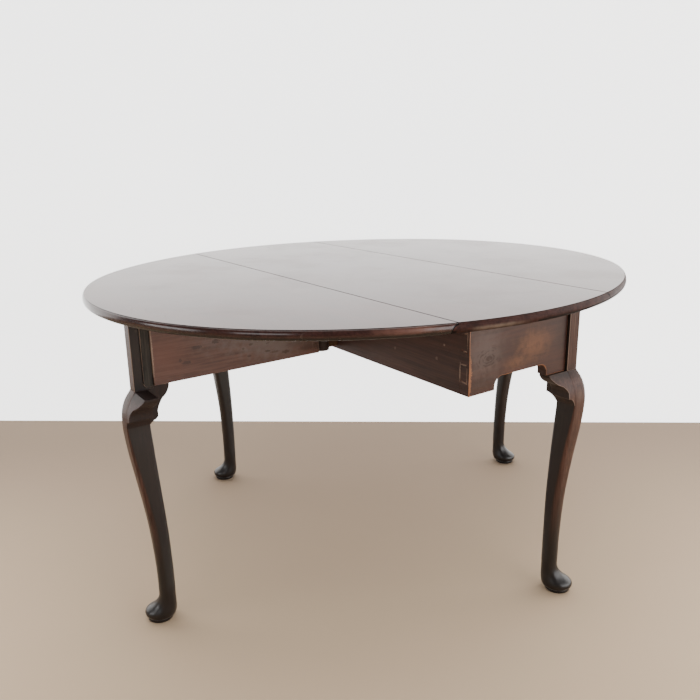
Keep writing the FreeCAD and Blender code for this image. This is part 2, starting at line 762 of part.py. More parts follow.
# the rail's other end is relieved, so that it doesn't show under the apron's arch
relief = box("rail_relief", (f"-frame_x - {MARGIN}", f"-frame_inner_x + {MARGIN}"),
             ("apron_back - rail_relief_length", f"apron_back + {MARGIN}"),
             (f"apron_bottom - {MARGIN}", f"apron_bottom + arch_rise + {MARGIN}"))
left_inner_rail = cut("left_inner_rail", fuse("tailed_rail", rail_board, *tails), relief)
corner_z = ("underside - 3 - corner_block_height", "underside - 3")
corner_left = prism("corner_left", "XY_Plane", [
    ("-frame_inner_x", "-apron_back"),
    ("-frame_inner_x + corner_block_side", "-apron_back"),
    ("-frame_inner_x", "-apron_back + corner_block_side"),
], *corner_z)
corner_right = prism("corner_right", "XY_Plane", [
    ("frame_inner_x - corner_block_side", "-apron_back"),
    ("frame_inner_x", "-apron_back"),
    ("frame_inner_x", "-apron_back + corner_block_side"),
], *corner_z)
front_corners = group("front_corners", corner_left, corner_right)
corner_blocks = group("corner_blocks", front_corners, half_turn("back_corners", front_corners))

# front leg, fixed at the right, with its pegs and ears
front_leg_pegs = group("front_leg_pegs", *peg_pair("front_peg", 1, -1, "stile_inner_y"))
back_leg_pegs = half_turn("back_leg_pegs", front_leg_pegs)
stile = box("front_stile", ("stile_inner_x", "stile_outer_x"), ("-stile_outer_y", "-stile_inner_y"),
            ("apron_bottom", "underside"))
fixed_shaft = cabriole_shaft("fixed_shaft", "0")
front_leg_blank = fuse("front_leg_blank", stile, turned("front_shaft", fixed_shaft, 0, "foot_x", "-foot_y"))
front_fixed_leg = cut("front_fixed_leg", front_leg_blank, apron_tenon,
                      rail_tenon("front_mortise", 1, -1, "stile_inner_y"), front_leg_pegs)
front_leg_rail_ear = ear("front_leg_rail_ear", "YZ_Plane", "stile_depth", "plain_ear_length", "rail_bottom",
                         PLAIN_SCROLL)
front_leg_end_ear = ear("front_leg_end_ear", "XZ_Plane", "stile_thickness", "end_ear_length", "apron_bottom",
                        END_SCROLL)

# left outer rail: the fixed half with three fingers, packed out from the inner rail
rail_z = ("rail_bottom", "underside")
knuckle_pin = upright("left_knuckle_pin", "knuckle_pin_radius", *PIVOT, rail_z)
rail_x = ("-rail_outer_x", "-rail_inner_x")
finger_reach = "(knuckle_radius + running_gap)"
fixed_board = box("fixed_board", rail_x, ("-pivot_along", "stile_inner_y"), rail_z)
fixed_blank = fuse("fixed_blank", fixed_board, rail_tenon("fixed_tenon", -1, 1, "stile_inner_y"),
                   *knuckle_rounds("fixed_finger", FIXED_FINGERS, ("0", "0")))
left_fixed_rail = cut("left_fixed_rail", fixed_blank, knuckle_pin, back_leg_pegs,
                      *knuckle_room("fly_room", FLY_FINGERS, ("0", "0"),
                                    ("-pivot_along", f"-pivot_along + {finger_reach}")))
packing = []
for index in range(3):
    start = f"packing_start + packing_pitch * {index}"
    packing.append(box(f"packing_{index + 1}", ("-rail_inner_x", "-frame_x"),
                       (start, f"{start} + packing_length"), rail_z))
left_packing_blocks = group("left_packing_blocks", *packing)

# left gate, built as it stands closed against the frame
gate_pegs = group("closed_pegs", *peg_pair("gate_peg", -1, -1, "gate_inner_y"))
fly_tenon = rail_tenon("fly_tenon", -1, -1, "gate_inner_y")
fly_board = box("fly_board", rail_x, ("-gate_inner_y", "-pivot_along"), ("rail_bottom", "gate_top"))
fly_blank = fuse("fly_blank", fly_board, fly_tenon,
                 *knuckle_rounds("fly_finger", FLY_FINGERS, ("running_gap", "-running_gap")))
fly_bore = upright("fly_bore", "knuckle_pin_radius + pin_clearance", *PIVOT, rail_z)
fly_rail = cut("closed_fly_rail", fly_blank, fly_bore, gate_pegs,
               *knuckle_room("fixed_room", FIXED_FINGERS, ("-running_gap", "running_gap"),
                             (f"-pivot_along - {finger_reach}", "-pivot_along")))
swing_stile = box("swing_stile", ("-stile_outer_x", "-stile_inner_x"), ("-gate_outer_y", "-gate_inner_y"),
                  ("apron_bottom", "gate_top"))
swing_shaft = cabriole_shaft("swing_shaft", "gate_stand_out")
swing_blank = fuse("swing_blank", swing_stile, turned("closed_shaft", swing_shaft, -90, "-foot_x", "-foot_y"))
rebate = box("stile_rebate", ("-(stile_inner_x + rebate_depth)", f"-stile_inner_x + {MARGIN}"),
             (f"-gate_outer_y - {MARGIN}", "-gate_outer_y + rebate_width"),
             (f"apron_bottom + {MARGIN}", f"underside + {MARGIN}"))
swing_leg = cut("closed_swing_leg", swing_blank, fly_tenon, gate_pegs, rebate)
gate_rail_ear = ear("gate_rail_ear", "YZ_Plane", "stile_depth", "rail_ear_length", "rail_bottom", RAIL_SCROLL)
gate_end_ear = ear("gate_end_ear", "XZ_Plane", "stile_thickness", "end_ear_length", "apron_bottom - rule_gap",
                   END_SCROLL)


def mirrored(name, source):
    """A piece for the left side of the front, from the one for the right."""
    copy = doc.addObject("Part::Mirroring", name)
    copy.Source = source
    copy.Normal = FreeCAD.Vector(1, 0, 0)
    return copy


def opened(name, source, further="0"):
    """A piece of the left gate, swung a quarter turn out from the frame."""
    return turned(name, source, -90, f"pivot_along - pivot_x - {further}", "-(pivot_along + pivot_x)")


def opened_ear(name, source):
    return opened(name, mirrored(name + "_closed", source), "gate_stand_out")


left_side = {
    "left_leaf": left_leaf,
    "left_hinge_frame_plates": left_hinge_frame_plates,
    "left_hinge_leaf_plates": left_hinge_leaf_plates,
    "left_inner_rail": left_inner_rail,
    "left_fixed_rail": left_fixed_rail,
    "left_packing_blocks": left_packing_blocks,
    "left_knuckle_pin": knuckle_pin,
    "left_fly_rail": opened("left_fly_rail", fly_rail),
    "left_swing_leg": opened("left_swing_leg", swing_leg),
    "left_gate_rail_ear": opened_ear("left_gate_rail_ear", gate_rail_ear),
    "left_gate_end_ear": opened_ear("left_gate_end_ear", gate_end_ear),
    "left_gate_pegs": opened("left_gate_pegs", gate_pegs),
}
front_side = {
    "front_apron": front_apron,
    "front_fixed_leg": front_fixed_leg,
    "front_leg_rail_ear": front_leg_rail_ear,
    "front_leg_end_ear": front_leg_end_ear,
    "front_leg_pegs": front_leg_pegs,
}
pieces = {
    "centre_top": centre_top,
    "top_glue_blocks": top_glue_blocks,
    "top_screws": top_screws,
    "corner_blocks": corner_blocks,
    "back_leg_pegs": back_leg_pegs,
    **left_side,
    **front_side,
}
for node, piece in left_side.items():
    other = node.replace("left", "right", 1)
    pieces[other] = half_turn(other, piece)
for node, piece in front_side.items():
    other = node.replace("front", "back", 1)
    if other not in pieces:
        pieces[other] = half_turn(other, piece)

doc.recompute()
for thing in doc.Objects:
    if "Invalid" in thing.State or "Error" in thing.State:
        raise RuntimeError(f"{thing.Name} did not compute")
os.makedirs("parts", exist_ok=True)
for node, piece in pieces.items():
    piece.Label = node
    if piece.Shape.isNull() or not piece.Shape.isValid():
        raise RuntimeError(f"{node} has no valid shape")
    piece.Shape.exportStep(f"parts/{node}.step")
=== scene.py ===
import json
import math

import bmesh
import bpy
from mathutils import Matrix, Vector

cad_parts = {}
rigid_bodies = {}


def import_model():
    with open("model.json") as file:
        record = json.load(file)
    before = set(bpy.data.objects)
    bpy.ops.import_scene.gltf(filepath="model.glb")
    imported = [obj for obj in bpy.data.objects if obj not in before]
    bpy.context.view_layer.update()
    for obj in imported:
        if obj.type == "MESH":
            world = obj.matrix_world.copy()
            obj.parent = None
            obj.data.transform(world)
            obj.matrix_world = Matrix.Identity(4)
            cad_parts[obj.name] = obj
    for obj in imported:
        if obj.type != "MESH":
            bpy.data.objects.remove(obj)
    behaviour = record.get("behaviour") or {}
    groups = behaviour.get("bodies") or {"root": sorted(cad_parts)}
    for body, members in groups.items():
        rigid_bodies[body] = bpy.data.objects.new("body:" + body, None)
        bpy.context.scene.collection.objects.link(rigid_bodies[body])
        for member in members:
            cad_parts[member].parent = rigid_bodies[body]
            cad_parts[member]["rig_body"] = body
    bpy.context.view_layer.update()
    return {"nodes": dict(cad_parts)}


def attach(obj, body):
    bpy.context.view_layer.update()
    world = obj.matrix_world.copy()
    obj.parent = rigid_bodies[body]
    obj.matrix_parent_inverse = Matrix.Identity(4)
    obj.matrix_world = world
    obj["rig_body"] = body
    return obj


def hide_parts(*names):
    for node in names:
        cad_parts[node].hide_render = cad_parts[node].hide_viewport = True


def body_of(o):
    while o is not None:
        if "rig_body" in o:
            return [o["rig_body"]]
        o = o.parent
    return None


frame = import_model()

# Looks of an oval drop-leaf table in old waxed mahogany. The sizes of its pieces are
# millimetres and become metres when a mesh or a material is made.
MM = 0.001
BODIES = {node: body_of(thing)[0] for node, thing in frame["nodes"].items()}

# the top, its rim and its rule joints
TOP = 720
UNDERSIDE = 699
HALF_LENGTH = 600
HALF_WIDTH = 676
END_RADIUS = 552
OUTLINE_POINTS = 240
RIM_STEP = 1.5
RIM_REACH = 4
RIM_LOWER = 9
RIM_LIP = 0.2
FIELD_ROUND = 0.5
SEAM = 210.5
RULE_RADIUS = 13.5
RULE_GAP = 0.6
PIN_LEVEL = 703
ARRIS = 1.3
# the flap hinges: places along a seam, half the length of a plate, and the rooms cut
# for plate and barrel, by their two ends, measured outwards from the seam, and depth
HINGE_SPOTS = (-380, 380)
HINGE_HALF = 24
CENTRE_ROOMS = ((-40, 19.1, 2.6), (-4.6, 4.6, 7.6))
LEAF_ROOMS = ((0, 62, 2.0), (-4.6, 14.1, 7.6))
# cutting tools run past what they cut
OVERCUT = 5
LONG_OVERCUT = 50
# the legs: where the feet stand, fixed and swung open, and levels of the frame
FOOT_X = 188
FOOT_Y = 516
OPEN_FOOT = (622, 56)
OPEN_X, OPEN_Y = OPEN_FOOT
APRON_BOTTOM = 546
GATE_TOP = 698.6
GATE_STAND_OUT = 9
# how far arrises are eased
APRON_EASE = 1.2
RAIL_EASE = 1.0
LEG_EASE = 0.9
EAR_EASE = 0.7

# sockets of a Mix node for colours: its share and two colours, and its result
MIX_INPUTS = (0, 6, 7)
MIX_RESULT = 2


class Tree:
    """Short calls for filling a shader or geometry node tree."""

    def __init__(self, tree):
        self.nodes = tree.nodes
        self.links = tree.links

    def put(self, target, value):
        if isinstance(value, bpy.types.NodeSocket):
            self.links.new(value, target)
        else:
            target.default_value = value

    def add(self, kind, inputs=None, **settings):
        node = self.nodes.new(kind)
        for key, value in settings.items():
            setattr(node, key, value)
        for key, value in (inputs or {}).items():
            self.put(node.inputs[key], value)
        return node

    def fill(self, node, values):
        """Values put on a node's sockets in their order."""
        for socket, value in zip(node.inputs, values):
            self.put(socket, value)
        return node.outputs

    def math(self, operation, *values):
        return self.fill(self.add("ShaderNodeMath", operation=operation), values)[0]

    def vector(self, operation, *values):
        outputs = self.fill(self.add("ShaderNodeVectorMath", operation=operation), values)
        return outputs["Value" if operation in ("LENGTH", "DOT_PRODUCT") else "Vector"]

    def noise(self, vector, scale, detail=3.0, rough=0.55, twist=0.0):
        node = self.add("ShaderNodeTexNoise", {
            "Vector": vector, "Scale": scale, "Detail": detail, "Roughness": rough, "Distortion": twist})
        return node.outputs["Fac"]

    def span(self, value, low, high, start=0.0, end=1.0):
        """Smooth rise from start to end while a value goes from low to high."""
        node = self.add("ShaderNodeMapRange", interpolation_type="SMOOTHSTEP")
        return self.fill(node, (value, low, high, start, end))["Result"]

    def mix(self, share, first, second):
        node = self.add("ShaderNodeMix", data_type="RGBA")
        for index, value in zip(MIX_INPUTS, (share, first, second)):
            self.put(node.inputs[index], value)
        return node.outputs[MIX_RESULT]


def colour(red, green, blue):
    """A colour named by its screen values from 0 to 255."""

    def linear(level):
        level /= 255
        return level / 12.92 if level <= 0.04045 else ((level + 0.055) / 1.055) ** 2.4

    return (linear(red), linear(green), linear(blue), 1.0)


VECTOR, VALUE, COLOUR = "NodeSocketVector", "NodeSocketFloat", "NodeSocketColor"


def new_group(name, inputs, outputs):
    """An empty shader group with named sockets, and its two ends."""
    tree = bpy.data.node_groups.new(name, "ShaderNodeTree")
    for way, sockets in (("INPUT", inputs), ("OUTPUT", outputs)):
        for label, kind in sockets.items():
            tree.interface.new_socket(label, in_out=way, socket_type=kind)
    work = Tree(tree)
    start = work.add("NodeGroupInput").outputs
    end = work.add("NodeGroupOutput").inputs
    return tree, work, start, end


# scales by axis of the grain's bands, fibres and pores, and of fine scratches
BAND_SCALE = (0.09, 1.0, 1.0)
FIBRE_SCALE = (6.0, 300.0, 300.0)
PORE_SCALE = (60.0, 1500.0, 1500.0)
SCRATCH_SCALE = (5.0, 520.0, 5.0)
SCRATCH_TURNS = (0.5, 1.9)
# a line of dirt at a rule joint: half its full and half its faded width
JOINT_DIRT = (0.9, 1.9)


def wood_group():
    """Mahogany: slow bands that wander, fine fibres along X and short dark pores."""
    tree, work, given, out = new_group(
        "wood grain",
        {"Vector": VECTOR, "Dark": COLOUR, "Light": COLOUR, "Band Width": VALUE, "Wander": VALUE,
         "Figure": VALUE},
        {"Color": COLOUR, "Height": VALUE})
    drawn = work.vector("MULTIPLY", given["Vector"], BAND_SCALE)
    sway = work.noise(drawn, 7.0, 2.0)
    across = work.math("DIVIDE", 1.0, given["Band Width"])
    swayed = work.math("MULTIPLY", work.math("MULTIPLY", sway, given["Wander"]), 0.09)
    shift = work.add("ShaderNodeCombineXYZ", {"Y": swayed, "Z": swayed}).outputs[0]
    bands = work.noise(work.vector("ADD", drawn, shift), across, 4.0, 0.6, 0.4)
    fibres = work.noise(work.vector("MULTIPLY", given["Vector"], FIBRE_SCALE), 1.0, 3.0, 0.6)
    pores = work.noise(work.vector("MULTIPLY", given["Vector"], PORE_SCALE), 1.0, 1.0)
    pore = work.span(pores, 0.62, 0.72)
    banded = work.math("MULTIPLY", work.span(bands, 0.3, 0.7), given["Figure"])
    plain = work.math("SUBTRACT", 1.0, given["Figure"])
    fibred = work.math("MULTIPLY", work.span(fibres, 0.3, 0.7), plain)
    body = work.mix(work.math("ADD", banded, fibred), given["Dark"], given["Light"])
    work.put(out["Color"], work.mix(work.math("MULTIPLY", pore, 0.45), body, given["Dark"]))
    ridges = work.math("MULTIPLY", fibres, 0.6)
    work.put(out["Height"], work.math("SUBTRACT", ridges, work.math("MULTIPLY", pore, 0.5)))
    return tree


def wear_group():
    """Rubbed arrises: the edge attribute broken up by a coarse and a fine noise."""
    tree, work, given, out = new_group(
        "edge wear", {"Vector": VECTOR, "Amount": VALUE, "Scale": VALUE}, {"Mask": VALUE})
    edge = work.add("ShaderNodeAttribute", attribute_name="edge").outputs["Fac"]
    coarse = work.noise(given["Vector"], given["Scale"], 4.0, 0.65)
    limit = work.math("SUBTRACT", 1.0, given["Amount"])
    broken = work.span(coarse, work.math("MULTIPLY", limit, 0.75), work.math("ADD", limit, 0.1))
    work.put(out["Mask"], work.math("MULTIPLY", edge, broken))
    return tree


def marks_group():
    """Handling: cloudy wax, fine crossed scratches and small dents."""
    tree, work, given, out = new_group(
        "handling marks",
        {"Vector": VECTOR, "Scale": VALUE},
        {"Cloud": VALUE, "Scratch": VALUE, "Dent": VALUE})
    place = given["Vector"]
    cloud = work.noise(place, work.math("MULTIPLY", given["Scale"], 6.0), 4.0, 0.6)
    scratches = None
    for turn in SCRATCH_TURNS:
        spun = work.add("ShaderNodeVectorRotate", {"Vector": place, "Angle": turn}).outputs[0]
        lines = work.noise(work.vector("MULTIPLY", spun, SCRATCH_SCALE), given["Scale"], 1.0)
        line = work.span(lines, 0.70, 0.76)
        scratches = line if scratches is None else work.math("MAXIMUM", scratches, line)
    patch = work.span(work.noise(place, work.math("MULTIPLY", given["Scale"], 9.0), 1.0), 0.5, 0.7)
    dents = work.noise(place, work.math("MULTIPLY", given["Scale"], 90.0), 2.0)
    work.put(out["Cloud"], cloud)
    work.put(out["Scratch"], work.math("MULTIPLY", scratches, patch))
    work.put(out["Dent"], work.span(dents, 0.64, 0.76))
    return tree


def knot_group():
    """Rings of grain round a place: broken arcs that fade out, and the place's heart."""
    tree, work, given, out = new_group(
        "knot",
        {"Vector": VECTOR, "Centre": VECTOR, "Radius": VALUE, "Stretch": VALUE, "Twist": VALUE},
        {"Rings": VALUE, "Heart": VALUE})
    away = work.vector("SUBTRACT", given["Vector"], given["Centre"])
    flat = work.add("ShaderNodeCombineXYZ", {"X": given["Stretch"], "Y": 1.0, "Z": 1.0}).outputs[0]
    squeezed = work.vector("MULTIPLY", away, flat)
    rough = work.noise(given["Vector"], 40.0, 2.0)
    twisted = work.math("MULTIPLY", work.math("SUBTRACT", rough, 0.5), given["Twist"])
    reach = work.math("ADD", work.vector("LENGTH", squeezed), twisted)
    ratio = work.math("DIVIDE", reach, given["Radius"])
    rings = work.span(work.math("SINE", work.math("MULTIPLY", ratio, 30.0)), -0.1, 0.9)
    broken = work.span(work.noise(given["Vector"], 70.0, 2.0), 0.42, 0.58)
    fade = work.span(ratio, 0.4, 1.0, 1.0, 0.0)
    work.put(out["Rings"], work.math("MULTIPLY", work.math("MULTIPLY", rings, broken), fade))
    work.put(out["Heart"], work.span(ratio, 0.08, 0.2, 1.0, 0.0))
    return tree


def spot_group():
    """One mark on the surface: an ellipsoid mask with a ragged edge, fading from its core."""
    tree, work, given, out = new_group(
        "spot",
        {"Vector": VECTOR, "Centre": VECTOR, "Size": VECTOR, "Core": VALUE, "Scale": VALUE,
         "Ragged": VALUE},
        {"Mask": VALUE})
    away = work.vector("SUBTRACT", given["Vector"], given["Centre"])
    scaled = work.vector("DIVIDE", away, given["Size"])
    noise = work.noise(given["Vector"], given["Scale"], 3.0)
    ragged = work.math("MULTIPLY", work.math("SUBTRACT", noise, 0.5), given["Ragged"])
    reach = work.math("ADD", work.vector("LENGTH", scaled), ragged)
    work.put(out["Mask"], work.span(reach, given["Core"], 1.0, 1.0, 0.0))
    return tree


def joint_group():
    """Dirt along the curve of a rule joint where it runs out through the rim."""
    tree, work, given, out = new_group("rule joint", {"Vector": VECTOR}, {"Mask": VALUE})
    place = work.add("ShaderNodeSeparateXYZ", {"Vector": given["Vector"]}).outputs
    across = work.math("SUBTRACT", work.math("ABSOLUTE", place["X"]), SEAM * MM)
    rise = work.math("MAXIMUM", work.math("SUBTRACT", place["Z"], PIN_LEVEL * MM), 0.0)
    squares = work.math("ADD", work.math("POWER", across, 2.0), work.math("POWER", rise, 2.0))
    away = work.math("SUBTRACT", work.math("SQRT", squares), (RULE_RADIUS + RULE_GAP / 2) * MM)
    full, faded = JOINT_DIRT
    near = work.span(work.math("ABSOLUTE", away), full * MM, faded * MM, 1.0, 0.0)
    work.put(out["Mask"], work.math("MULTIPLY", near, work.math("GREATER_THAN", across, 0.0)))
    return tree


WOOD = wood_group()
WEAR = wear_group()
MARKS = marks_group()
KNOT = knot_group()
SPOT = spot_group()
JOINT = joint_group()


def place_group(work, tree, **values):
    """A group placed in a material with its own values."""
    node = work.add("ShaderNodeGroup", node_tree=tree)
    for key, value in values.items():
        work.put(node.inputs[key.replace("_", " ").title()], value)
    return node.outputs


# tones laid where the grime and shade attributes rise: dull grime with painted shade, near-black dirt
# with painted shade, and painted shade with a darker tone
DIRT_AND_SHADE_TONE = colour(36, 33, 32)
SOOT_AND_SHADE = colour(15, 11, 10)
SHADE_AND_DARKENING_TONE = colour(20, 16, 15)
# which way the grain runs, as a turn that brings that axis to X
ALONG = {"x": (0, 0, 0), "y": (0, 0, -math.pi / 2), "z": (0, math.pi / 2, 0)}
# settings of the spot group for a soft patch and for a small mark
GLOW = {"core": 0.0, "scale": 70.0, "ragged": 0.7}
MARK = {"core": 0.6, "scale": 330.0, "ragged": 1.4}
# shares of clouds, scratches, grime with painted shade, and grain in colour, gloss and relief
CLOUD_TINT, CLOUD_GLOSS = 0.25, 0.10
SCRATCH_TINT, SCRATCH_GLOSS = 0.3, 0.15
GRIME_AND_SHADE_POLISH, GRIME_AND_SHADE_GLOSS = 0.3, 0.12
GRAIN_RELIEF = 0.4
WEAR_SCALE = 35.0
WOOD_DEPTH = 0.6
IRON_DEPTH = 0.4


def new_material(name):
    """An empty material, its tree, and the place on the piece that patterns read."""
    material = bpy.data.materials.new(name)
    material.use_nodes = True
    material.node_tree.nodes.clear()
    work = Tree(material.node_tree)
    return material, work, work.add("ShaderNodeTexCoord").outputs["Object"]


def end_material(work, shader):
    end = work.add("ShaderNodeOutputMaterial")
    work.links.new(shader.outputs[0], end.inputs["Surface"])


def metres(place):
    return [value * MM for value in place]


def add_spots(work, spot, tint, places, settings):
    """A tint with marks of other colours on it."""
    for centre, size, spot_colour, strength in places:
        mark = place_group(work, SPOT, vector=spot, centre=metres(centre), size=metres(size), **settings)
        tint = work.mix(work.math("MULTIPLY", mark["Mask"], strength), tint, spot_colour)
    return tint


def add_knots(work, spot, tint, knots, heart_colour):
    """A tint with the rings and hearts of knots on it."""
    for centre, radius, stretch, twist, ring_colour, strength in knots:
        knot = place_group(work, KNOT, vector=spot, centre=metres(centre), radius=radius * MM,
                           stretch=stretch, twist=twist * MM)
        tint = work.mix(work.math("MULTIPLY", knot["Rings"], strength), tint, ring_colour)
        tint = work.mix(work.math("MULTIPLY", knot["Heart"], strength), tint, heart_colour)
    return tint


def wood(name, along, dark, light, rough, worn, wear=0.45, band=0.02, wander=1.0, figure=0.5, shine=0.5,
         coat=0.0, coat_rough=0.12, bump=0.25, knots=(), glows=(), spots=(), marks=1.0, dirt_and_shade=DIRT_AND_SHADE_TONE,
         joint=False):
    """A waxed wood with its grain along one axis, from a dark to a light tone, and a
    third where it is worn. Glows are soft patches of another tone, some of them painted
    shade, shadow or highlight, and spots are small marks, one of them painted shade. The
    grime attribute lays grime and painted shade, the shade attribute painted shade and a
    darker tone, and the coat lies only where they rise."""
    material, work, spot = new_material(name)
    lined = work.add("ShaderNodeMapping", {"Vector": spot, "Rotation": ALONG[along]}).outputs[0]
    grain = place_group(work, WOOD, vector=lined, dark=dark, light=light, band_width=band,
                        wander=wander, figure=figure)
    tint = add_spots(work, spot, grain["Color"], glows, GLOW)
    tint = add_spots(work, spot, tint, spots, MARK)
    tint = add_knots(work, spot, tint, knots, dark)
    handled = place_group(work, MARKS, vector=spot, scale=1.0)
    cloud = work.span(handled["Cloud"], 0.3, 0.75)
    tint = work.mix(work.math("MULTIPLY", cloud, CLOUD_TINT), tint, light)
    tint = work.mix(work.math("MULTIPLY", handled["Scratch"], SCRATCH_TINT * marks), tint, worn)
    rubbed = place_group(work, WEAR, vector=spot, amount=wear, scale=WEAR_SCALE)
    tint = work.mix(rubbed["Mask"], tint, worn)
    # the shade attribute lays painted shade and a darker tone, the grime attribute grime and painted
    # shade
    shade = work.add("ShaderNodeAttribute", attribute_name="shade").outputs["Fac"]
    grime_and_shade = work.add("ShaderNodeAttribute", attribute_name="grime_and_shade").outputs["Fac"]
    if joint:
        grime_and_shade = work.math("MAXIMUM", grime_and_shade, place_group(work, JOINT, vector=spot)["Mask"])
    tint = work.mix(grime_and_shade, work.mix(shade, tint, SHADE_AND_DARKENING_TONE), dirt_and_shade)
    gloss = work.math("ADD", work.math("MULTIPLY", cloud, CLOUD_GLOSS), rough)
    gloss = work.math("ADD", gloss, work.math("MULTIPLY", handled["Scratch"], SCRATCH_GLOSS))
    gloss = work.math("ADD", gloss, work.math("MULTIPLY", grime_and_shade, GRIME_AND_SHADE_GLOSS))
    ridges = work.math("MULTIPLY", grain["Height"], GRAIN_RELIEF)
    relief = work.math("SUBTRACT", ridges, work.math("MULTIPLY", handled["Dent"], marks))
    normal = work.add("ShaderNodeBump", {
        "Height": relief, "Strength": bump, "Distance": WOOD_DEPTH * MM})
    shader = work.add("ShaderNodeBsdfPrincipled", {
        "Base Color": tint, "Roughness": gloss, "Normal": normal.outputs[0],
        "Coat Roughness": coat_rough, "Specular IOR Level": shine})
    if coat:
        polish_and_shade = work.math("MAXIMUM", shade, work.math("MULTIPLY", grime_and_shade, GRIME_AND_SHADE_POLISH))
        work.put(shader.inputs["Coat Weight"], work.math("MULTIPLY", polish_and_shade, coat))
    end_material(work, shader)
    return material


def iron(name):
    """Old wrought iron, dark with a little rust."""
    material, work, spot = new_material(name)
    rust = work.span(work.noise(spot, 90.0, 5.0, 0.65), 0.45, 0.68)
    handled = place_group(work, MARKS, vector=spot, scale=2.0)
    tint = work.mix(rust, colour(58, 54, 52), colour(96, 58, 38))
    tint = work.mix(work.math("MULTIPLY", handled["Scratch"], 0.5), tint, colour(150, 146, 142))
    metal = work.math("SUBTRACT", 0.9, work.math("MULTIPLY", rust, 0.8))
    rough = work.math("ADD", work.math("MULTIPLY", rust, 0.35), 0.42)
    relief = work.math("ADD", rust, handled["Dent"])
    normal = work.add("ShaderNodeBump", {"Height": relief, "Strength": 0.3, "Distance": IRON_DEPTH * MM})
    shader = work.add("ShaderNodeBsdfPrincipled", {
        "Base Color": tint, "Metallic": metal, "Roughness": rough, "Normal": normal.outputs[0]})
    end_material(work, shader)
    return material


TAN = colour(150, 98, 66)
PALE = colour(150, 128, 114)
SPECK = colour(34, 20, 17)
# outer faces with marks on them: the front apron's and the open left fly rail's, by
# their Y, and the left inner rail's, by its X
APRON_FACE = -514
FLY_FACE = -87
RAIL_FACE = -125
# Knots give centre, radius, stretch, twist, colour of the rings and strength. Glows and
# spots give centre, half sizes, colour and strength.
APRON_KNOTS = (
    ((-72, APRON_FACE, 615), 30, 0.6, 12, colour(34, 20, 15), 0.8),
    ((50, APRON_FACE, 560), 130, 0.4, 30, colour(40, 22, 16), 0.3),
)
APRON_GLOWS_AND_SHADOW = (
    ((-85, APRON_FACE, 635), (80, 20, 95), colour(88, 76, 72), 0.65),
    ((60, APRON_FACE, 622), (75, 20, 48), colour(120, 78, 50), 0.5),
    ((5, APRON_FACE, 592), (50, 20, 22), colour(114, 74, 48), 0.45),
    ((150, APRON_FACE, 635), (42, 20, 95), colour(34, 22, 19), 0.7),
    # painted shadow of the top's overhang along the apron's upper edge
    ((30, APRON_FACE, 702), (170, 20, 30), colour(34, 20, 17), 0.7),
)
APRON_SPOTS = (
    ((-125, APRON_FACE, 585), (8, 10, 60), TAN, 0.8),
    ((-69, APRON_FACE, 613), (4, 4, 3), PALE, 0.3),
)
FLY_SPOTS = [((x, FLY_FACE, z), (long, 5, high), SPECK, dark) for x, z, long, high, dark in (
    (-455, 625, 10, 6, 0.7), (-462, 633, 22, 4, 0.3), (-498, 619, 15, 4, 0.6), (-524, 590, 12, 4, 0.6),
    (-537, 597, 4, 5, 0.5), (-372, 604, 7, 3, 0.6), (-391, 597, 4, 3, 0.5), (-377, 578, 6, 3, 0.6),
    (-331, 582, 8, 3, 0.7), (-312, 577, 14, 3, 0.5), (-284, 572, 12, 5, 0.7), (-330, 600, 5, 2, 0.5),
    (-250, 585, 40, 10, 0.25), (-222, 573, 30, 8, 0.5))]
FLY_SPOTS.append(((-596, -84, 626), (3, 8, 66), PALE, 0.9))
# painted shade, near black, over the knuckle of the fly and fixed rails under the top
KNUCKLE_SHADE = ((-178, -72, 626), (38, 38, 120), SOOT_AND_SHADE, 0.9)
FLY_SPOTS.append(KNUCKLE_SHADE)
FLY_GLOWS_AND_SHADE = (
    ((-570, FLY_FACE, 615), (90, 20, 70), colour(104, 62, 48), 0.5),
    ((-350, FLY_FACE, 650), (190, 20, 90), colour(108, 101, 99), 0.9),
    ((-300, FLY_FACE, 595), (120, 20, 55), colour(102, 95, 92), 0.8),
    # painted shade on the fly rail's end by the knuckle
    ((-205, FLY_FACE, 640), (80, 20, 90), colour(38, 30, 28), 0.8),
)
RAIL_SPOTS = [((RAIL_FACE, y, z), (4, along, up), PALE, light) for y, z, along, up, light in (
    (-443, 637, 3, 3, 0.6), (-287, 597, 4, 4, 0.25), (-421, 604, 4, 4, 0.25), (-489, 591, 2, 22, 0.6),
    (-499, 609, 11, 2, 0.6), (-500, 573, 10, 2, 0.4), (-508, 592, 1.5, 18, 0.4), (-502, 636, 6, 2, 0.6),
    (-502, 671, 5, 2, 0.4))]
RAIL_SPOTS.append(KNUCKLE_SHADE)
# painted highlights on the rim: a pale band low on the centre board's front and a warm sheen on the left
# leaf's front
RIM_PAINTED_HIGHLIGHTS = (
    ((-135, -592, 705.5), (105, 25, 7), colour(128, 112, 98), 0.7),
    ((-300, -545, 713), (120, 70, 9), colour(126, 88, 76), 0.7),
)
LEG_SPOTS = [((-621, -78, 672), (4, 4, 4), PALE, 0.6)]
# painted shade with some grime on the front knee's top under the apron, and a painted sheen lower on the
# knee
LEG_SHADE_AND_SHEEN = (
    ((165, -532, 548), (75, 30, 26), colour(30, 24, 21), 0.9),
    ((182, -546, 492), (18, 12, 30), colour(116, 100, 92), 0.35),
)
RIM_TONES = (colour(32, 17, 15), colour(66, 40, 35))
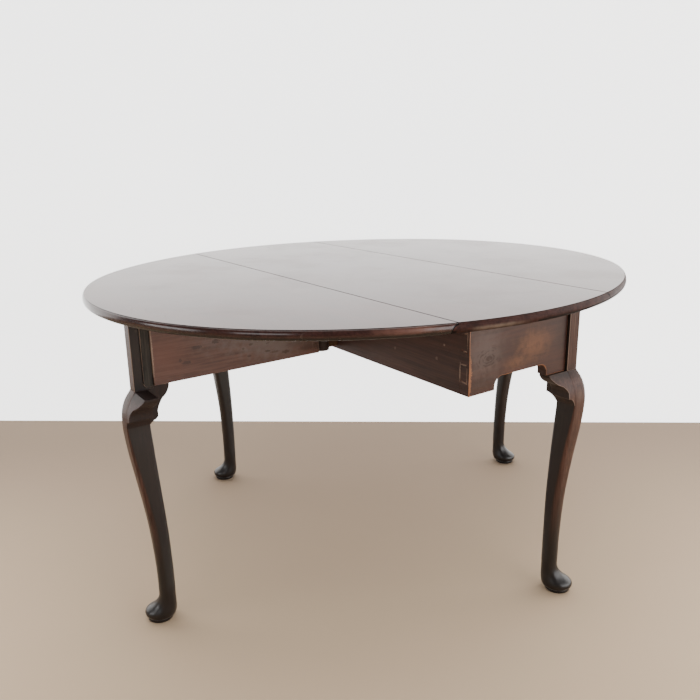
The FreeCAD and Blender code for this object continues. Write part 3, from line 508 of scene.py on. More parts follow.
LOOKS = {
    "top": wood("waxed top", "y", colour(52, 30, 24), colour(80, 48, 38), rough=0.10, worn=PALE,
                wear=0.3, band=0.03, shine=0.08, bump=0.06, marks=0.4, dirt_and_shade=SOOT_AND_SHADE),
    "rim": wood("worn rim", "y", *RIM_TONES, rough=0.15, worn=PALE, wear=0.1, shine=0.34, bump=0.08,
                glows=RIM_PAINTED_HIGHLIGHTS, dirt_and_shade=SOOT_AND_SHADE, joint=True),
    "dull_rim": wood("dull rim", "y", *RIM_TONES, rough=0.45, worn=PALE, wear=0.1, shine=0.06, bump=0.2,
                     glows=RIM_PAINTED_HIGHLIGHTS, dirt_and_shade=SOOT_AND_SHADE, joint=True),
    # near-black dirt for the seams, also laid on the step under the top's arris as painted shade
    "seam": wood("seam dirt and step shade", "y", SOOT_AND_SHADE, SPECK, rough=0.6, worn=SPECK, shine=0.0),
    "apron": wood("apron", "x", colour(38, 17, 12), colour(67, 37, 28), rough=0.36, worn=TAN, wear=0.6,
                  band=0.016, wander=2.0, figure=0.6, shine=0.3, knots=APRON_KNOTS,
                  glows=APRON_GLOWS_AND_SHADOW, spots=APRON_SPOTS, marks=0.4),
    "fly_rail": wood("fly rail", "x", colour(60, 35, 29), colour(98, 66, 57), rough=0.40, worn=PALE,
                     wear=0.5, band=0.016, shine=0.35, glows=FLY_GLOWS_AND_SHADE, spots=FLY_SPOTS),
    "rail": wood("long rail", "y", colour(36, 21, 19), colour(72, 47, 42), rough=0.45, worn=PALE,
                 wear=0.4, band=0.016, shine=0.3, spots=RAIL_SPOTS),
    "leg": wood("leg", "z", colour(40, 25, 21), colour(86, 60, 51), rough=0.36, worn=PALE, wear=0.75,
                band=0.012, figure=0.4, shine=0.15, coat=0.45, coat_rough=0.28, glows=LEG_SHADE_AND_SHEEN,
                spots=LEG_SPOTS),
    "ear": wood("gate ear", "z", colour(38, 22, 18), colour(74, 48, 40), rough=0.40, worn=PALE, wear=0.2,
                band=0.012, figure=0.4, shine=0.15),
    "raw": wood("raw stile", "z", colour(28, 26, 24), colour(62, 57, 52), rough=0.6, worn=PALE,
                wear=0.75, band=0.006, shine=0.2, bump=0.6),
    "block": wood("old block", "y", colour(52, 36, 26), colour(92, 68, 48), rough=0.6, worn=TAN,
                  band=0.008, shine=0.2, figure=0.7),
    "peg": wood("peg", "x", colour(36, 22, 18), colour(74, 48, 38), rough=0.4, worn=PALE, band=0.003,
                shine=0.3),
    "iron": iron("old iron"),
}


def finish_piece(thing, looks, body, nodes):
    """Give a piece its looks, by their face index, and its place in the frame."""
    for look in looks:
        thing.data.materials.append(LOOKS[look])
    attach(thing, body)
    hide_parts(*nodes)


def new_object(name, data):
    thing = bpy.data.objects.new(name, data)
    bpy.context.scene.collection.objects.link(thing)
    return thing


def mesh_object(name, work):
    """A new object from a bmesh measured in metres."""
    bmesh.ops.recalc_face_normals(work, faces=work.faces)
    mesh = bpy.data.meshes.new(name)
    work.to_mesh(mesh)
    work.free()
    return new_object(name, mesh)


def loop_faces(work, rings):
    """Skin closed rings of equal length, lowest first, with both ends capped."""
    rows = [[work.verts.new(Vector(point) * MM) for point in ring] for ring in rings]
    count = len(rows[0])
    for low, high in zip(rows, rows[1:]):
        for index in range(count):
            follower = (index + 1) % count
            work.faces.new((low[index], low[follower], high[follower], high[index]))
    work.faces.new(rows[0][::-1])
    work.faces.new(rows[-1])


def tag(thing, name, values):
    """Write a number on every face, for the materials to read: edge is 1 on a rubbed
    arris, grime rises to 1 under dull dirt, painted shade and darker tones, and shade
    rises to 1 under painted shade and a darker tone."""
    thing.data.attributes.new(name, "FLOAT", "FACE").data.foreach_set("value", values)


def smooth(share):
    """A smooth rise from 0 to 1."""
    share = min(max(share, 0.0), 1.0)
    return share * share * (3 - 2 * share)


# turns between faces: what is flat, where a curve begins and what is sharp
FLAT_TURN = math.radians(0.6)
CURVE_TURN = math.radians(0.4)
SHARP_TURN = math.radians(35)
SHADED_SHARP = math.radians(40)
LEG_SHARP = math.radians(50)
# square metres of a face that is too broad to belong to a curve
BROAD_FACE = 0.0015


def set_smooth(work, sharp=SHADED_SHARP):
    """Smooth shading on curved faces only, so that flat faces stay flat."""
    for face in work.faces:
        face.smooth = False
    for edge in work.edges:
        if len(edge.link_faces) != 2:
            continue
        turn = edge.calc_face_angle()
        edge.smooth = turn < sharp
        if CURVE_TURN < turn < sharp:
            for face in edge.link_faces:
                if face.calc_area() < BROAD_FACE:
                    face.smooth = True


def ease_arrises(work, edges, width, sharp=SHADED_SHARP, **settings):
    """Round edges over, with round shading that stops at the borders of the new
    arrises. Gives their indices."""
    made = bmesh.ops.bevel(work, geom=edges, offset=width * MM, offset_type="OFFSET", segments=2,
                           profile=0.5, affect="EDGES", clamp_overlap=False, **settings)
    set_smooth(work, sharp)
    arrises = set(made["faces"])
    for face in arrises:
        face.smooth = True
        for edge in face.edges:
            if not arrises.issuperset(edge.link_faces):
                edge.smooth = False
    work.faces.index_update()
    return {face.index for face in arrises}


def tag_edges(thing, worn):
    tag(thing, "edge", [1.0 if index in worn else 0.0 for index in range(len(thing.data.polygons))])


# how squarely a face has to look along a direction to be glued on or to be end grain
GLUED_FACING = 0.95
END_FACING = 0.7
# grime and painted shade on the inner sides of ears, and a darker tone on their upper sides
EAR_GRIME_AND_SHADE = 0.75
EAR_TOP_DARKENING = 0.6


def eased(node, look, width, inner=None, glued=None, end_look=None):
    """A CAD piece with its arrises rounded over by hand tools and use, except round a
    face that is glued on in some direction. Its sides that face the inner direction
    get grime and painted shade, its upper sides then a darker tone, and its end grain
    to X may look different."""
    work = bmesh.new()
    work.from_mesh(frame["nodes"][node].data)
    bmesh.ops.remove_doubles(work, verts=work.verts, dist=1e-6)
    bmesh.ops.dissolve_limit(work, angle_limit=FLAT_TURN, verts=work.verts, edges=work.edges)
    sharp = []
    for edge in work.edges:
        if len(edge.link_faces) != 2 or edge.calc_face_angle() <= SHARP_TURN:
            continue
        if not glued or all(face.normal.dot(glued) < GLUED_FACING for face in edge.link_faces):
            sharp.append(edge)
    worn = ease_arrises(work, sharp, width, loop_slide=True)
    for face in work.faces:
        face.material_index = 1 if end_look and abs(face.normal.x) > END_FACING else 0
    thing = mesh_object(node + "_shape", work)
    finish_piece(thing, [look, end_look] if end_look else [look], BODIES[node], [node])
    tag_edges(thing, worn)
    # inner sides get grime and painted shade, upper sides a darker tone
    if inner:
        grime_and_shade = []
        for face in thing.data.polygons:
            facing = face.normal.x * inner[0] + face.normal.y * inner[1]
            top_darkening = EAR_TOP_DARKENING * smooth((face.normal.z - 0.4) / 0.3)
            grime_and_shade.append(max(EAR_GRIME_AND_SHADE * smooth(facing / 0.4), top_darkening))
        tag(thing, "grime_and_shade", grime_and_shade)


def oval(reach):
    """Points of the top's outline, from two pairs of arcs, pushed out by a reach."""
    end_centre = HALF_WIDTH - END_RADIUS
    squares = end_centre ** 2 + HALF_LENGTH ** 2 - END_RADIUS ** 2
    side_radius = squares / (2 * (HALF_LENGTH - END_RADIUS))
    side_centre = side_radius - HALF_LENGTH
    swing = math.atan2(side_centre, end_centre)
    quarter = OUTLINE_POINTS // 4
    points = []
    for index in range(quarter):
        share = index / quarter
        if share < 0.5:
            turn = swing * share / 0.5
            radius = END_RADIUS + reach
            points.append((end_centre + radius * math.cos(turn), radius * math.sin(turn)))
        else:
            turn = swing + (math.pi / 2 - swing) * (share - 0.5) / 0.5
            radius = side_radius + reach
            points.append((radius * math.cos(turn), radius * math.sin(turn) - side_centre))
    whole = list(points)
    whole.append((0.0, HALF_LENGTH + reach))
    whole += [(-x, y) for x, y in reversed(points[1:])]
    whole += [(-x, -y) for x, y in points]
    whole.append((0.0, -HALF_LENGTH - reach))
    whole += [(x, -y) for x, y in reversed(points[1:])]
    return whole


def slab():
    """The whole moulded oval, a flat field with a small step and a thumb moulding."""
    profile = []
    lower_steps, upper_steps = 8, 10
    for step in range(lower_steps + 1):
        turn = math.pi / 2 * step / lower_steps
        reach = RIM_REACH - RIM_LOWER * (1 - math.sin(turn))
        profile.append((reach, UNDERSIDE + RIM_LOWER * (1 - math.cos(turn))))
    rim_top = TOP - RIM_STEP
    rise = rim_top - UNDERSIDE - RIM_LOWER
    for step in range(1, upper_steps + 1):
        turn = math.pi / 2 * step / upper_steps
        reach = RIM_LIP + (RIM_REACH - RIM_LIP) * math.cos(turn)
        profile.append((reach, rim_top - rise * (1 - math.sin(turn))))
    profile += [(0, rim_top + RIM_LIP), (0, TOP - FIELD_ROUND),
                (-0.3 * FIELD_ROUND, TOP - 0.3 * FIELD_ROUND), (-FIELD_ROUND, TOP)]
    work = bmesh.new()
    rings = []
    for reach, height in profile:
        rings.append([(x, y, height) for x, y in oval(reach)])
    loop_faces(work, rings)
    return mesh_object("slab", work)


def extrusion(section):
    """A section in X and Z drawn out along Y past the top."""
    half = HALF_LENGTH + LONG_OVERCUT
    work = bmesh.new()
    loop_faces(work, [[(x, y, z) for x, z in section] for y in (-half, half)])
    return mesh_object("section", work)


def arc(centre, radius, first, last, steps):
    """Points on a circle from one angle to another, in degrees."""
    turns = [math.radians(first + (last - first) * step / steps) for step in range(steps + 1)]
    return [(centre[0] + radius * math.cos(turn), centre[1] + radius * math.sin(turn)) for turn in turns]


def arris_points(side, x):
    """The rounded top edge of a board beside a seam, from the joint up and past the top."""
    curve = ((0, 1.0), (0.12, 0.55), (0.42, 0.14), (1.0, 0.0))
    points = [(x + side * ARRIS * across, TOP - ARRIS * down) for across, down in curve]
    return points + [(x + side * ARRIS, TOP + OVERCUT)]


def half_turned(points):
    """A section's points for the other half of the table."""
    return [(-x, z) for x, z in reversed(points)]


def centre_section():
    """What is kept of the slab for the centre board, as X and Z."""
    ovolo = arc((SEAM, PIN_LEVEL), RULE_RADIUS, 0, 90, 10)
    right = [(SEAM + RULE_RADIUS, UNDERSIDE - OVERCUT), *ovolo, *arris_points(-1, SEAM)]
    return right + half_turned(right)


def left_leaf_section():
    """What is kept of the slab for the left leaf, as X and Z."""
    low, high, far = UNDERSIDE - OVERCUT, TOP + OVERCUT, -(HALF_WIDTH + LONG_OVERCUT)
    nose = RULE_RADIUS + RULE_GAP
    cove = arc((-SEAM, PIN_LEVEL), nose, 180, 92.5, 10)
    return [(far, low), (-SEAM - nose, low), *cove, *arris_points(-1, -SEAM - RULE_GAP), (far, high)]


def apply_modifiers(thing):
    """Make the mesh that an object shows its own."""
    shown = thing.evaluated_get(bpy.context.evaluated_depsgraph_get())
    mesh = bpy.data.meshes.new_from_object(shown)
    thing.modifiers.clear()
    old = thing.data
    thing.data = mesh
    bpy.data.meshes.remove(old)


def boolean(thing, tool, operation):
    """Cut an object's mesh by another object."""
    modifier = thing.modifiers.new("cut", "BOOLEAN")
    modifier.operation = operation
    modifier.solver = "EXACT"
    modifier.object = tool
    apply_modifiers(thing)


def room_block(x0, x1, y, depth):
    """A block that clears one hinge plate or barrel from the underside up."""
    y0, y1 = y - HINGE_HALF, y + HINGE_HALF
    levels = (UNDERSIDE - OVERCUT, UNDERSIDE + depth)
    work = bmesh.new()
    loop_faces(work, [[(x0, y0, z), (x1, y0, z), (x1, y1, z), (x0, y1, z)] for z in levels])
    return mesh_object("hinge_room", work)


def hinge_rooms(side, spans):
    """Blocks that clear the flap hinges from a board beside one seam."""
    rooms = []
    for y in HINGE_SPOTS:
        for near, far, depth in spans:
            x0, x1 = sorted((side * (SEAM + near), side * (SEAM + far)))
            rooms.append(room_block(x0, x1, y, depth))
    return rooms


# how far right of the left seam the rim's painted shade is lighter, and the painted shade there and
# elsewhere
LIGHTER_SHADE_END = -40
LIGHTER_RIM_SHADE, RIM_SHADE = 0.3, 0.9


def rim_underside_shade(place, lean):
    """Painted shade, with duller gloss, on the rim's downward faces; less of it on the front from the
    left seam to a little left of the middle.
    """
    lighter = -SEAM < place.x < LIGHTER_SHADE_END and place.y < 0
    return (LIGHTER_RIM_SHADE if lighter else RIM_SHADE) * smooth(-lean / 0.5)


# the looks of a board by face index, and what sorts its faces: the upright part of a
# level face's normal and of an upright one's, and how deep dirt sits in a seam
FIELD, RIM, UNDER, CREASE = range(4)
LEVEL_FACE = 0.999
UPRIGHT_FACE = 0.2
SEAM_DIRT = 4


def board(node, rim, section, rooms):
    """One board of the top, cut from the slab by its section."""
    thing = slab()
    thing.name = node + "_shape"
    kept = extrusion(section)
    boolean(thing, kept, "INTERSECT")
    for room in rooms:
        boolean(thing, room, "DIFFERENCE")
    for tool in (kept, *rooms):
        bpy.data.objects.remove(tool)
    work = bmesh.new()
    work.from_mesh(thing.data)
    set_smooth(work)
    underside_shade = []
    for face in work.faces:
        middle, lean = face.calc_center_median() / MM, face.normal.z
        in_seam = abs(abs(middle.x) - SEAM) < ARRIS + 1 and middle.z > TOP - SEAM_DIRT
        # the step under the top's arris gets the seam look as painted shade
        in_step = abs(lean) < UPRIGHT_FACE and middle.z > TOP - RIM_STEP - RIM_LIP
        if lean > LEVEL_FACE and middle.z > TOP - FIELD_ROUND:
            face.material_index = FIELD
        elif lean < -LEVEL_FACE:
            face.material_index = UNDER
        elif in_seam or in_step:
            face.material_index = CREASE
        else:
            face.material_index = RIM
        # a rim face turned downwards gets painted shade through the grime attribute
        underside_shade.append(rim_underside_shade(middle, lean) if face.material_index == RIM else 0.0)
    thing.data.materials.clear()
    work.to_mesh(thing.data)
    work.free()
    finish_piece(thing, ("top", rim, "rail", "seam"), BODIES[node], [node])
    tag(thing, "grime_and_shade", underside_shade)


board("centre_top", "dull_rim", centre_section(),
      hinge_rooms(-1, CENTRE_ROOMS) + hinge_rooms(1, CENTRE_ROOMS))
board("left_leaf", "rim", left_leaf_section(), hinge_rooms(-1, LEAF_ROOMS))
board("right_leaf", "dull_rim", half_turned(left_leaf_section()), hinge_rooms(1, LEAF_ROOMS))

# Sections of a cabriole leg: height, reach of the outer and of the inner sides from
# the foot's centre line, and the radii of the outer, the side and the inner corners.
LEG_STATIONS = (
    (62, 1.6, 34.5, 18.0, 18.0, 18.0),
    (88, 1.6, 34.5, 18.0, 18.0, 18.0),
    (145, 2.0, 34.3, 17.5, 16.5, 17.0),
    (240, 5.4, 32.8, 17.0, 13.5, 14.0),
    (333, 13.6, 29.8, 18.0, 10.0, 12.0),
    (420, 24.1, 25.6, 22.0, 6.0, 9.0),
    (470, 28.0, 22.0, 24.0, 3.0, 3.0),
    (500, 26.2, 23.5, 22.0, 3.0, 3.0),
    (525, 18.2, 25.0, 14.0, 3.0, 3.0),
    (APRON_BOTTOM, 5.5, 26.0, 3.0, 2.5, 2.5),
)
# Sections of the club foot: height, reach to the toe and back to the heel along the
# leg's diagonal, and half the width across it. A turned pad is below, and the last
# section is the ankle's.
FOOT_STATIONS = (
    (0, 25.4, 29.0, 26.6), (0.8, 26.2, 29.8, 27.4), (6.2, 26.4, 30.0, 27.6), (7.0, 25.8, 29.6, 27.0),
    (7.6, 27.2, 31.4, 28.0), (9.5, 29.6, 34.6, 29.8), (12.5, 31.4, 37.0, 31.2), (16, 32.2, 38.6, 31.8),
    (20, 31.2, 39.6, 31.4), (24, 27.6, 40.2, 30.0), (28, 22.2, 40.6, 28.0), (32, 16.2, 40.9, 25.8),
    (37, 10.2, 41.0, 23.4), (43, 4.4, 41.1, 21.2), (50, -0.6, 41.1, 19.5), (57, -3.8, 41.1, 18.4),
    (64, -5.2, 41.1, 18.0), (72, -5.4, 41.1, 17.9),
)
CORNER_STEPS = 8
FOOT_POINTS = 48
DIAGONAL = math.sqrt(0.5)
# sections of the shaft from the ankle up, and where a shaft that leans does so
SHAFT_BOTTOM, SHAFT_STEP = 72, 6
LEAN_FROM, LEAN_OVER = 80, 340
# the stile stands a hair down in the shaft
STILE_SINK = 0.5
# a darker tone on the lower leg, fading upwards, and painted shade on the whole of a rear leg
LOW_DARKENING, LOW_DARKENING_TOP, LOW_DARKENING_FADE = 0.95, 300, 200
REAR_PAINTED_SHADE = 0.85
# grime and painted shade on the inner sides, from above the foot
LEG_GRIME_AND_SHADE, GRIME_AND_SHADE_BOTTOM, GRIME_AND_SHADE_FADE = 0.9, 60, 40


def spline(rows, height):
    """Smooth values between rows of stations (a Catmull-Rom curve over the height)."""
    index = max(i for i, row in enumerate(rows) if row[0] <= height + 1e-9)
    index = min(index, len(rows) - 2)
    low, high = rows[index], rows[index + 1]
    before, after = rows[max(index - 1, 0)], rows[min(index + 2, len(rows) - 1)]
    gap = high[0] - low[0]
    share = (height - low[0]) / gap
    values = []
    for k in range(1, len(low)):
        slope_low = (high[k] - before[k]) / (high[0] - before[0]) * gap
        slope_high = (after[k] - low[k]) / (after[0] - low[0]) * gap
        square, cube = share ** 2, share ** 3
        values.append((2 * cube - 3 * square + 1) * low[k] + (cube - 2 * square + share) * slope_low
                      + (3 * square - 2 * cube) * high[k] + (cube - square) * slope_high)
    return values


def leg_ring(outer, inner, outer_round, side_round, inner_round):
    """A square section with rounded corners; the outer corner is to +X and -Y."""
    half = (outer + inner) / 2
    corners = (
        (outer, -outer, outer_round, -90), (outer, inner, side_round, 0),
        (-inner, inner, inner_round, 90), (-inner, -outer, side_round, 180),
    )
    ring = []
    for x, y, radius, start in corners:
        radius = min(radius, half * 0.98)
        centre_x = x - math.copysign(radius, x - (outer - half))
        centre_y = y - math.copysign(radius, y + (outer - half))
        ring += arc((centre_x, centre_y), radius, start, start + 90, CORNER_STEPS)
    return ring


def leg(node, centre, turn, stile, top, polish_and_shade=0.0, lean=0, strip=()):
    """A leg: stile, cabriole shaft and club foot, each a closed skin. The shaft may
    lean to its outer side, and a raw strip, seen from its face, may stand on the stile."""
    work = bmesh.new()
    spin = Matrix.Rotation(math.radians(turn), 4, "Z")

    def set_out(points):
        placed = [spin @ Vector(point) for point in points]
        return [(p.x + centre[0], p.y + centre[1], p.z) for p in placed]

    def level(points, height, shift=0.0):
        return set_out([(x + shift, y, height) for x, y in points])

    shaft = []
    for height in range(SHAFT_BOTTOM, APRON_BOTTOM + 1, SHAFT_STEP):
        shift = lean * smooth((height - LEAN_FROM) / LEAN_OVER)
        shaft.append(level(leg_ring(*spline(LEG_STATIONS, height)), height, shift))
    loop_faces(work, shaft)
    foot = []
    for height, toe, heel, half_width in FOOT_STATIONS:
        ring = []
        for x, y in arc((0, 0), 1, 0, 360 - 360 / FOOT_POINTS, FOOT_POINTS - 1):
            ahead, aside = (toe - heel) / 2 + x * (toe + heel) / 2, y * half_width
            ring.append(((ahead + aside) * DIAGONAL, (aside - ahead) * DIAGONAL))
        foot.append(level(ring, height))
    loop_faces(work, foot)
    turned = len(work.faces)
    loop_faces(work, [level(stile, height) for height in (APRON_BOTTOM - STILE_SINK, top)])
    plain = len(work.faces)
    if strip:
        loop_faces(work, [set_out([(x, y, z) for x, z in strip]) for y in STRIP_FACES])
    work.faces.ensure_lookup_table()
    for face in work.faces[plain:]:
        face.material_index = 1
    square_edges = {edge for face in work.faces[turned:] for edge in face.edges}
    worn = ease_arrises(work, list(square_edges), LEG_EASE, LEG_SHARP)
    thing = mesh_object(node + "_shape", work)
    finish_piece(thing, ("leg", "raw"), BODIES[node], [node])
    unspin = spin.to_3x3().inverted()
    grime_and_shade, shade = [], []
    for face in thing.data.polygons:
        normal = unspin @ face.normal
        height = face.center.z / MM
        # inner sides get grime and painted shade
        inside = smooth(((normal.y - normal.x) * DIAGONAL - 0.15) / 0.5)
        inside *= smooth((height - GRIME_AND_SHADE_BOTTOM) / GRIME_AND_SHADE_FADE)
        grime_and_shade.append(0.0 if face.material_index else LEG_GRIME_AND_SHADE * inside)
        # painted shade over a rear leg, and a darker tone towards the foot
        shade.append(max(polish_and_shade, LOW_DARKENING * smooth((LOW_DARKENING_TOP - height) / LOW_DARKENING_FADE)))
    tag(thing, "grime_and_shade", grime_and_shade)
    tag(thing, "shade", shade)
    tag_edges(thing, worn)


# Stiles as seen from above, and the raw strip on a gate's stile as seen from its face,
# all measured from the foot's centre line.
FIXED_STILE = [(5, -5), (5, 35), (-26, 35), (-26, -5)]
SWING_STILE = [(14, -5), (14, 22), (-26, 22), (-26, -5)]
STRIP_FACES = (20, 26)
RAW_STRIP = [(-26, GATE_TOP), (-26, 552), *arc((-13, 559), 7, 270, 360, 5), (-6, GATE_TOP)]
GATE_LEG = {"stile": SWING_STILE, "top": GATE_TOP, "lean": GATE_STAND_OUT, "strip": RAW_STRIP}
leg("front_fixed_leg", (FOOT_X, -FOOT_Y), 0, FIXED_STILE, UNDERSIDE)
leg("back_fixed_leg", (-FOOT_X, FOOT_Y), 180, FIXED_STILE, UNDERSIDE, REAR_PAINTED_SHADE)
leg("left_swing_leg", (-OPEN_X, -OPEN_Y), 180, **GATE_LEG)
leg("right_swing_leg", OPEN_FOOT, 0, polish_and_shade=REAR_PAINTED_SHADE, **GATE_LEG)

# parts in X and Y of the way in from a knee
INWARD = 0.7
for side, sign in (("front", 1), ("back", -1)):
    inner = (-INWARD * sign, INWARD * sign)
    eased(f"{side}_apron", "apron", APRON_EASE, end_look="rail")
    eased(f"{side}_leg_end_ear", "leg", EAR_EASE, inner, Vector((sign, 0, 0)))
    eased(f"{side}_leg_rail_ear", "leg", EAR_EASE, inner, Vector((0, -sign, 0)))
for side, sign in (("left", 1), ("right", -1)):
    inner = (INWARD * sign, -INWARD * sign)
    eased(f"{side}_inner_rail", "rail", RAIL_EASE)
    eased(f"{side}_fixed_rail", "rail", RAIL_EASE)
    eased(f"{side}_fly_rail", "fly_rail", RAIL_EASE)
    eased(f"{side}_gate_end_ear", "ear", EAR_EASE, inner, Vector((0, sign, 0)))
    eased(f"{side}_gate_rail_ear", "ear", EAR_EASE, inner, Vector((-sign, 0, 0)))
    eased(f"{side}_packing_blocks", "block", RAIL_EASE)
for node in ("corner_blocks", "top_glue_blocks"):
    eased(node, "block", RAIL_EASE)

# a screw's groove runs past its head: length in radii, and lift in heights of the head
GROOVE_REACH = 3.0
GROOVE_LIFT = 0.6


def fastener_group():
    """Pegs or slotted screw heads set on points, each at its own turn."""
    tree = bpy.data.node_groups.new("fasteners", "GeometryNodeTree")
    sockets = (("Points", "Geometry"), ("Radius", "Float"), ("Length", "Float"), ("Sides", "Int"),
               ("Groove", "Float"), ("Direction", "Vector"), ("Seed", "Int"), ("Material", "Material"))
    for label, kind in sockets:
        tree.interface.new_socket(label, in_out="INPUT", socket_type="NodeSocket" + kind)
    tree.interface.new_socket("Mesh", in_out="OUTPUT", socket_type="NodeSocketGeometry")
    work = Tree(tree)
    given = work.add("NodeGroupInput").outputs
    bar = work.add("GeometryNodeMeshCylinder", {
        "Vertices": given["Sides"], "Radius": given["Radius"], "Depth": given["Length"]}).outputs["Mesh"]
    wide = work.math("MULTIPLY", given["Radius"], GROOVE_REACH)
    size = work.add("ShaderNodeCombineXYZ", {"X": wide, "Y": given["Groove"], "Z": given["Length"]})
    lift = work.add("ShaderNodeCombineXYZ", {"Z": work.math("MULTIPLY", given["Length"], GROOVE_LIFT)})
    saw = work.add("GeometryNodeMeshCube", {"Size": size.outputs[0]}).outputs["Mesh"]
    saw = work.add("GeometryNodeTransform", {"Geometry": saw, "Translation": lift.outputs[0]}).outputs[0]
    slotted = work.add("GeometryNodeMeshBoolean", {"Mesh 1": bar, "Mesh 2": saw}, operation="DIFFERENCE")
    grooved = work.math("GREATER_THAN", given["Groove"], 0.0)
    choice = {"Switch": grooved, "False": bar, "True": slotted.outputs["Mesh"]}
    shape = work.add("GeometryNodeSwitch", choice, input_type="GEOMETRY").outputs[0]
    aimed = {"Vector": given["Direction"]}
    aim = work.add("FunctionNodeAlignRotationToVector", aimed, axis="Z").outputs[0]
    turn = work.add("FunctionNodeRandomValue", {"Max": (0.0, 0.0, math.tau), "Seed": given["Seed"]},
                    data_type="FLOAT_VECTOR").outputs[0]
    placed = work.add("GeometryNodeInstanceOnPoints", {
        "Points": given["Points"], "Instance": shape, "Rotation": aim}).outputs[0]
    placed = work.add("GeometryNodeRotateInstances", {"Instances": placed, "Rotation": turn}).outputs[0]
    real = work.add("GeometryNodeRealizeInstances", {"Geometry": placed}).outputs[0]
    done = work.add("GeometryNodeSetMaterial", {"Geometry": real, "Material": given["Material"]})
    end = work.add("NodeGroupOutput")
    work.links.new(done.outputs[0], end.inputs["Mesh"])
    return tree


FASTENERS = fastener_group()


def fasteners(name, body, points, nodes, slot, look, **settings):
    """One plain mesh with a fastener at each point."""
    mesh = bpy.data.meshes.new(name + "_points")
    mesh.from_pydata([metres(point) for point in points], [], [])
    thing = new_object(name, mesh)
    modifier = thing.modifiers.new("fasteners", "NODES")
    modifier.node_group = FASTENERS
    inputs = [item for item in FASTENERS.interface.items_tree if item.in_out == "INPUT"]
    names = {item.name: item.identifier for item in inputs}
    for label, value in settings.items():
        modifier[names[label.title()]] = value
    modifier[names["Material"]] = LOOKS[look]
    apply_modifiers(thing)
    finish_piece(thing, (), body, nodes)


# pegs stand a hair proud of the stiles on both sides
PEG = {"radius": 3.4 * MM, "length": 31.6 * MM, "sides": 9, "groove": 0.0, "seed": 4}
PEG_LEVELS = (591.5, 661.5)
GATE_PEG_X, GATE_PEG_Y = OPEN_X - 14, OPEN_Y + 10.5
LEG_PEG_X, LEG_PEG_Y = FOOT_X - 10.5, FOOT_Y - 35
for side, sign in (("left", -1), ("right", 1)):
    node = f"{side}_gate_pegs"
    points = [(sign * GATE_PEG_X, sign * GATE_PEG_Y, z) for z in PEG_LEVELS]
    fasteners(f"{side}_gate_peg_ends", BODIES[node], points, [node], "mahogany_leg", "raw",
              direction=(0.0, 1.0, 0.0), **PEG)
for side, sign in (("front", 1), ("back", -1)):
    node = f"{side}_leg_pegs"
    points = [(sign * LEG_PEG_X, -sign * LEG_PEG_Y, z) for z in PEG_LEVELS]
    fasteners(f"{side}_leg_peg_ends", BODIES[node], points, [node], "mahogany_leg", "peg",
              direction=(1.0, 0.0, 0.0), **PEG)

# slotted heads of the hinge screws, seen from below, two to a plate and staggered
HEAD = {"radius": 3.6 * MM, "length": 0.8 * MM, "sides": 20, "groove": 0.9 * MM, "seed": 9,
        "direction": (0.0, 0.0, -1.0)}
HEAD_LEVEL = UNDERSIDE + 0.3
HEAD_STAGGER = 12.48
FLAPS = {"hinge_frame_plates": (-196.0, -179.7), "hinge_leaf_plates": (-238.0, -260.1)}
for side, sign in (("left", 1), ("right", -1)):
    for plates, (near, far) in FLAPS.items():
        points = []
        for middle in HINGE_SPOTS:
            points.append((sign * near, sign * (middle + HEAD_STAGGER), HEAD_LEVEL))
            points.append((sign * far, sign * (middle - HEAD_STAGGER), HEAD_LEVEL))
        node = f"{side}_{plates}"
        fasteners(f"{node}_heads", BODIES[node], points, [], "iron", "iron", **HEAD)

for node, thing in frame["nodes"].items():
    if node.endswith(("hinge_frame_plates", "hinge_leaf_plates", "knuckle_pin", "top_screws")):
        thing.data.materials.clear()
        thing.data.materials.append(LOOKS["iron"])

# the stage, its lights and the camera, in metres, with the image in pixels
FLOOR_TONE = colour(196, 170, 140)
# painted shade: the floor darkens further from the camera
FLOOR_FAR_SHADE = colour(128, 108, 88)
FLOOR_SHADE_FADE = (-0.7, 0.7)
WALL_TONE = colour(244, 245, 245)
WALL_GLOW = 2.8
WALL_LEFT, WALL_RIGHT = Vector((-0.686, 1.516, 0)), Vector((1.456, -0.150, 0))
WALL_HEIGHT = 7
STAGE_REACH = 9.0
SKY_TONE = (0.93, 0.96, 1.0, 1.0)
SKY_STRENGTH = 0.2
# name, place, aim, size and power of each soft light
LIGHTS = (
    ("window", (1.6, -3.7, 1.1), (0.0, 0.0, 0.5), (4.4, 1.8), 155),
    ("side window", (-4.0, 0.6, 1.0), (0.0, 0.0, 0.7), (1.8, 0.8), 34),
    ("far window", (-3.7, -2.2, 1.25), (-0.3, -0.2, 0.7), (1.6, 0.8), 20),
    ("ceiling", (-0.2, -0.2, 3.2), (0, 0, 0.5), (3.0, 3.0), 60),
)
EYE = Vector((-1.06357, -1.45461, 1.01551))
AHEAD = Vector((0.54787, 0.79302, -0.26637))
AZIMUTH = math.radians(-34.64)
ROLL = math.radians(-1.03)
FOCAL_PIXELS = 712.5
IMAGE_CENTRE = (345.2, 346.2)
IMAGE_SIZE = 700
SENSOR_WIDTH = 36.0


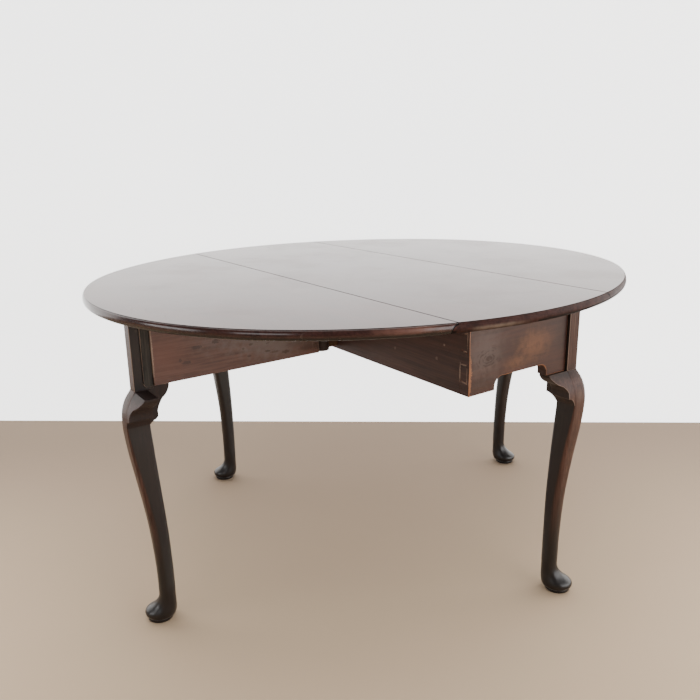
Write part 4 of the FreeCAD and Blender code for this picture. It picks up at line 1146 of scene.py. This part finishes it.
def stage_material(name, tone, glow=0.0, far_shade=None):
    """Plain matt stage paint with a faint mottle; its back is clear. It may darken to a
    painted shade further from the camera."""
    material, work, spot = new_material(name)
    mottle = work.span(work.noise(spot, 1.5, 3.0), 0.2, 0.8)
    tint = work.mix(mottle, [share * 0.97 for share in tone[:3]] + [1.0], tone)
    if far_shade:
        ahead = work.vector("DOT_PRODUCT", spot, Vector((AHEAD.x, AHEAD.y, 0)).normalized())
        tint = work.mix(work.span(ahead, *FLOOR_SHADE_FADE), tint, far_shade)
    shader = work.add("ShaderNodeBsdfPrincipled", {
        "Base Color": tint, "Roughness": 0.85, "Emission Color": tint, "Emission Strength": glow})
    clear = work.add("ShaderNodeBsdfTransparent")
    behind = work.add("ShaderNodeNewGeometry").outputs["Backfacing"]
    chosen = work.add("ShaderNodeMixShader", {0: behind})
    work.links.new(shader.outputs[0], chosen.inputs[1])
    work.links.new(clear.outputs[0], chosen.inputs[2])
    end_material(work, chosen)
    return material


def sheet(name, corners, material):
    """One flat part of the stage."""
    mesh = bpy.data.meshes.new(name)
    mesh.from_pydata([tuple(corner) for corner in corners], [], [(0, 1, 2, 3)])
    mesh.materials.append(material)
    thing = new_object(name, mesh)


floor_signs = ((-1, -1), (1, -1), (1, 1), (-1, 1))
sheet("floor", [(x * STAGE_REACH, y * STAGE_REACH, 0) for x, y in floor_signs],
      stage_material("floor paint", FLOOR_TONE, far_shade=FLOOR_FAR_SHADE))
half = (WALL_RIGHT - WALL_LEFT).normalized() * STAGE_REACH
foot = (WALL_LEFT + WALL_RIGHT) / 2
head = foot + Vector((0, 0, WALL_HEIGHT))
sheet("backdrop", [foot - half, foot + half, head + half, head - half],
      stage_material("wall paint", WALL_TONE, WALL_GLOW))

world = bpy.data.worlds.new("studio")
world.use_nodes = True
sky = world.node_tree.nodes["Background"].inputs
sky["Color"].default_value = SKY_TONE
sky["Strength"].default_value = SKY_STRENGTH
bpy.context.scene.world = world

for name, place, aim, size, power in LIGHTS:
    lamp = bpy.data.lights.new(name, "AREA")
    lamp.shape = "RECTANGLE"
    lamp.size, lamp.size_y = size
    lamp.energy = power
    thing = new_object(name, lamp)
    thing.location = place
    thing.rotation_mode = "QUATERNION"
    thing.rotation_quaternion = (Vector(aim) - Vector(place)).to_track_quat("-Z", "Y")

camera_data = bpy.data.cameras.new("camera")
camera_data.sensor_fit = "HORIZONTAL"
camera_data.sensor_width = SENSOR_WIDTH
camera_data.lens = FOCAL_PIXELS / IMAGE_SIZE * SENSOR_WIDTH
camera_data.shift_x = (IMAGE_SIZE / 2 - IMAGE_CENTRE[0]) / IMAGE_SIZE
camera_data.shift_y = (IMAGE_CENTRE[1] - IMAGE_SIZE / 2) / IMAGE_SIZE
camera = new_object("camera", camera_data)
flat_right = Vector((math.cos(AZIMUTH), math.sin(AZIMUTH), 0))
flat_up = flat_right.cross(AHEAD)
right = flat_right * math.cos(ROLL) + flat_up * math.sin(ROLL)
up = flat_up * math.cos(ROLL) - flat_right * math.sin(ROLL)
camera.matrix_world = Matrix((
    (right.x, up.x, -AHEAD.x, EYE.x),
    (right.y, up.y, -AHEAD.y, EYE.y),
    (right.z, up.z, -AHEAD.z, EYE.z),
    (0, 0, 0, 1)))
bpy.context.scene.camera = camera
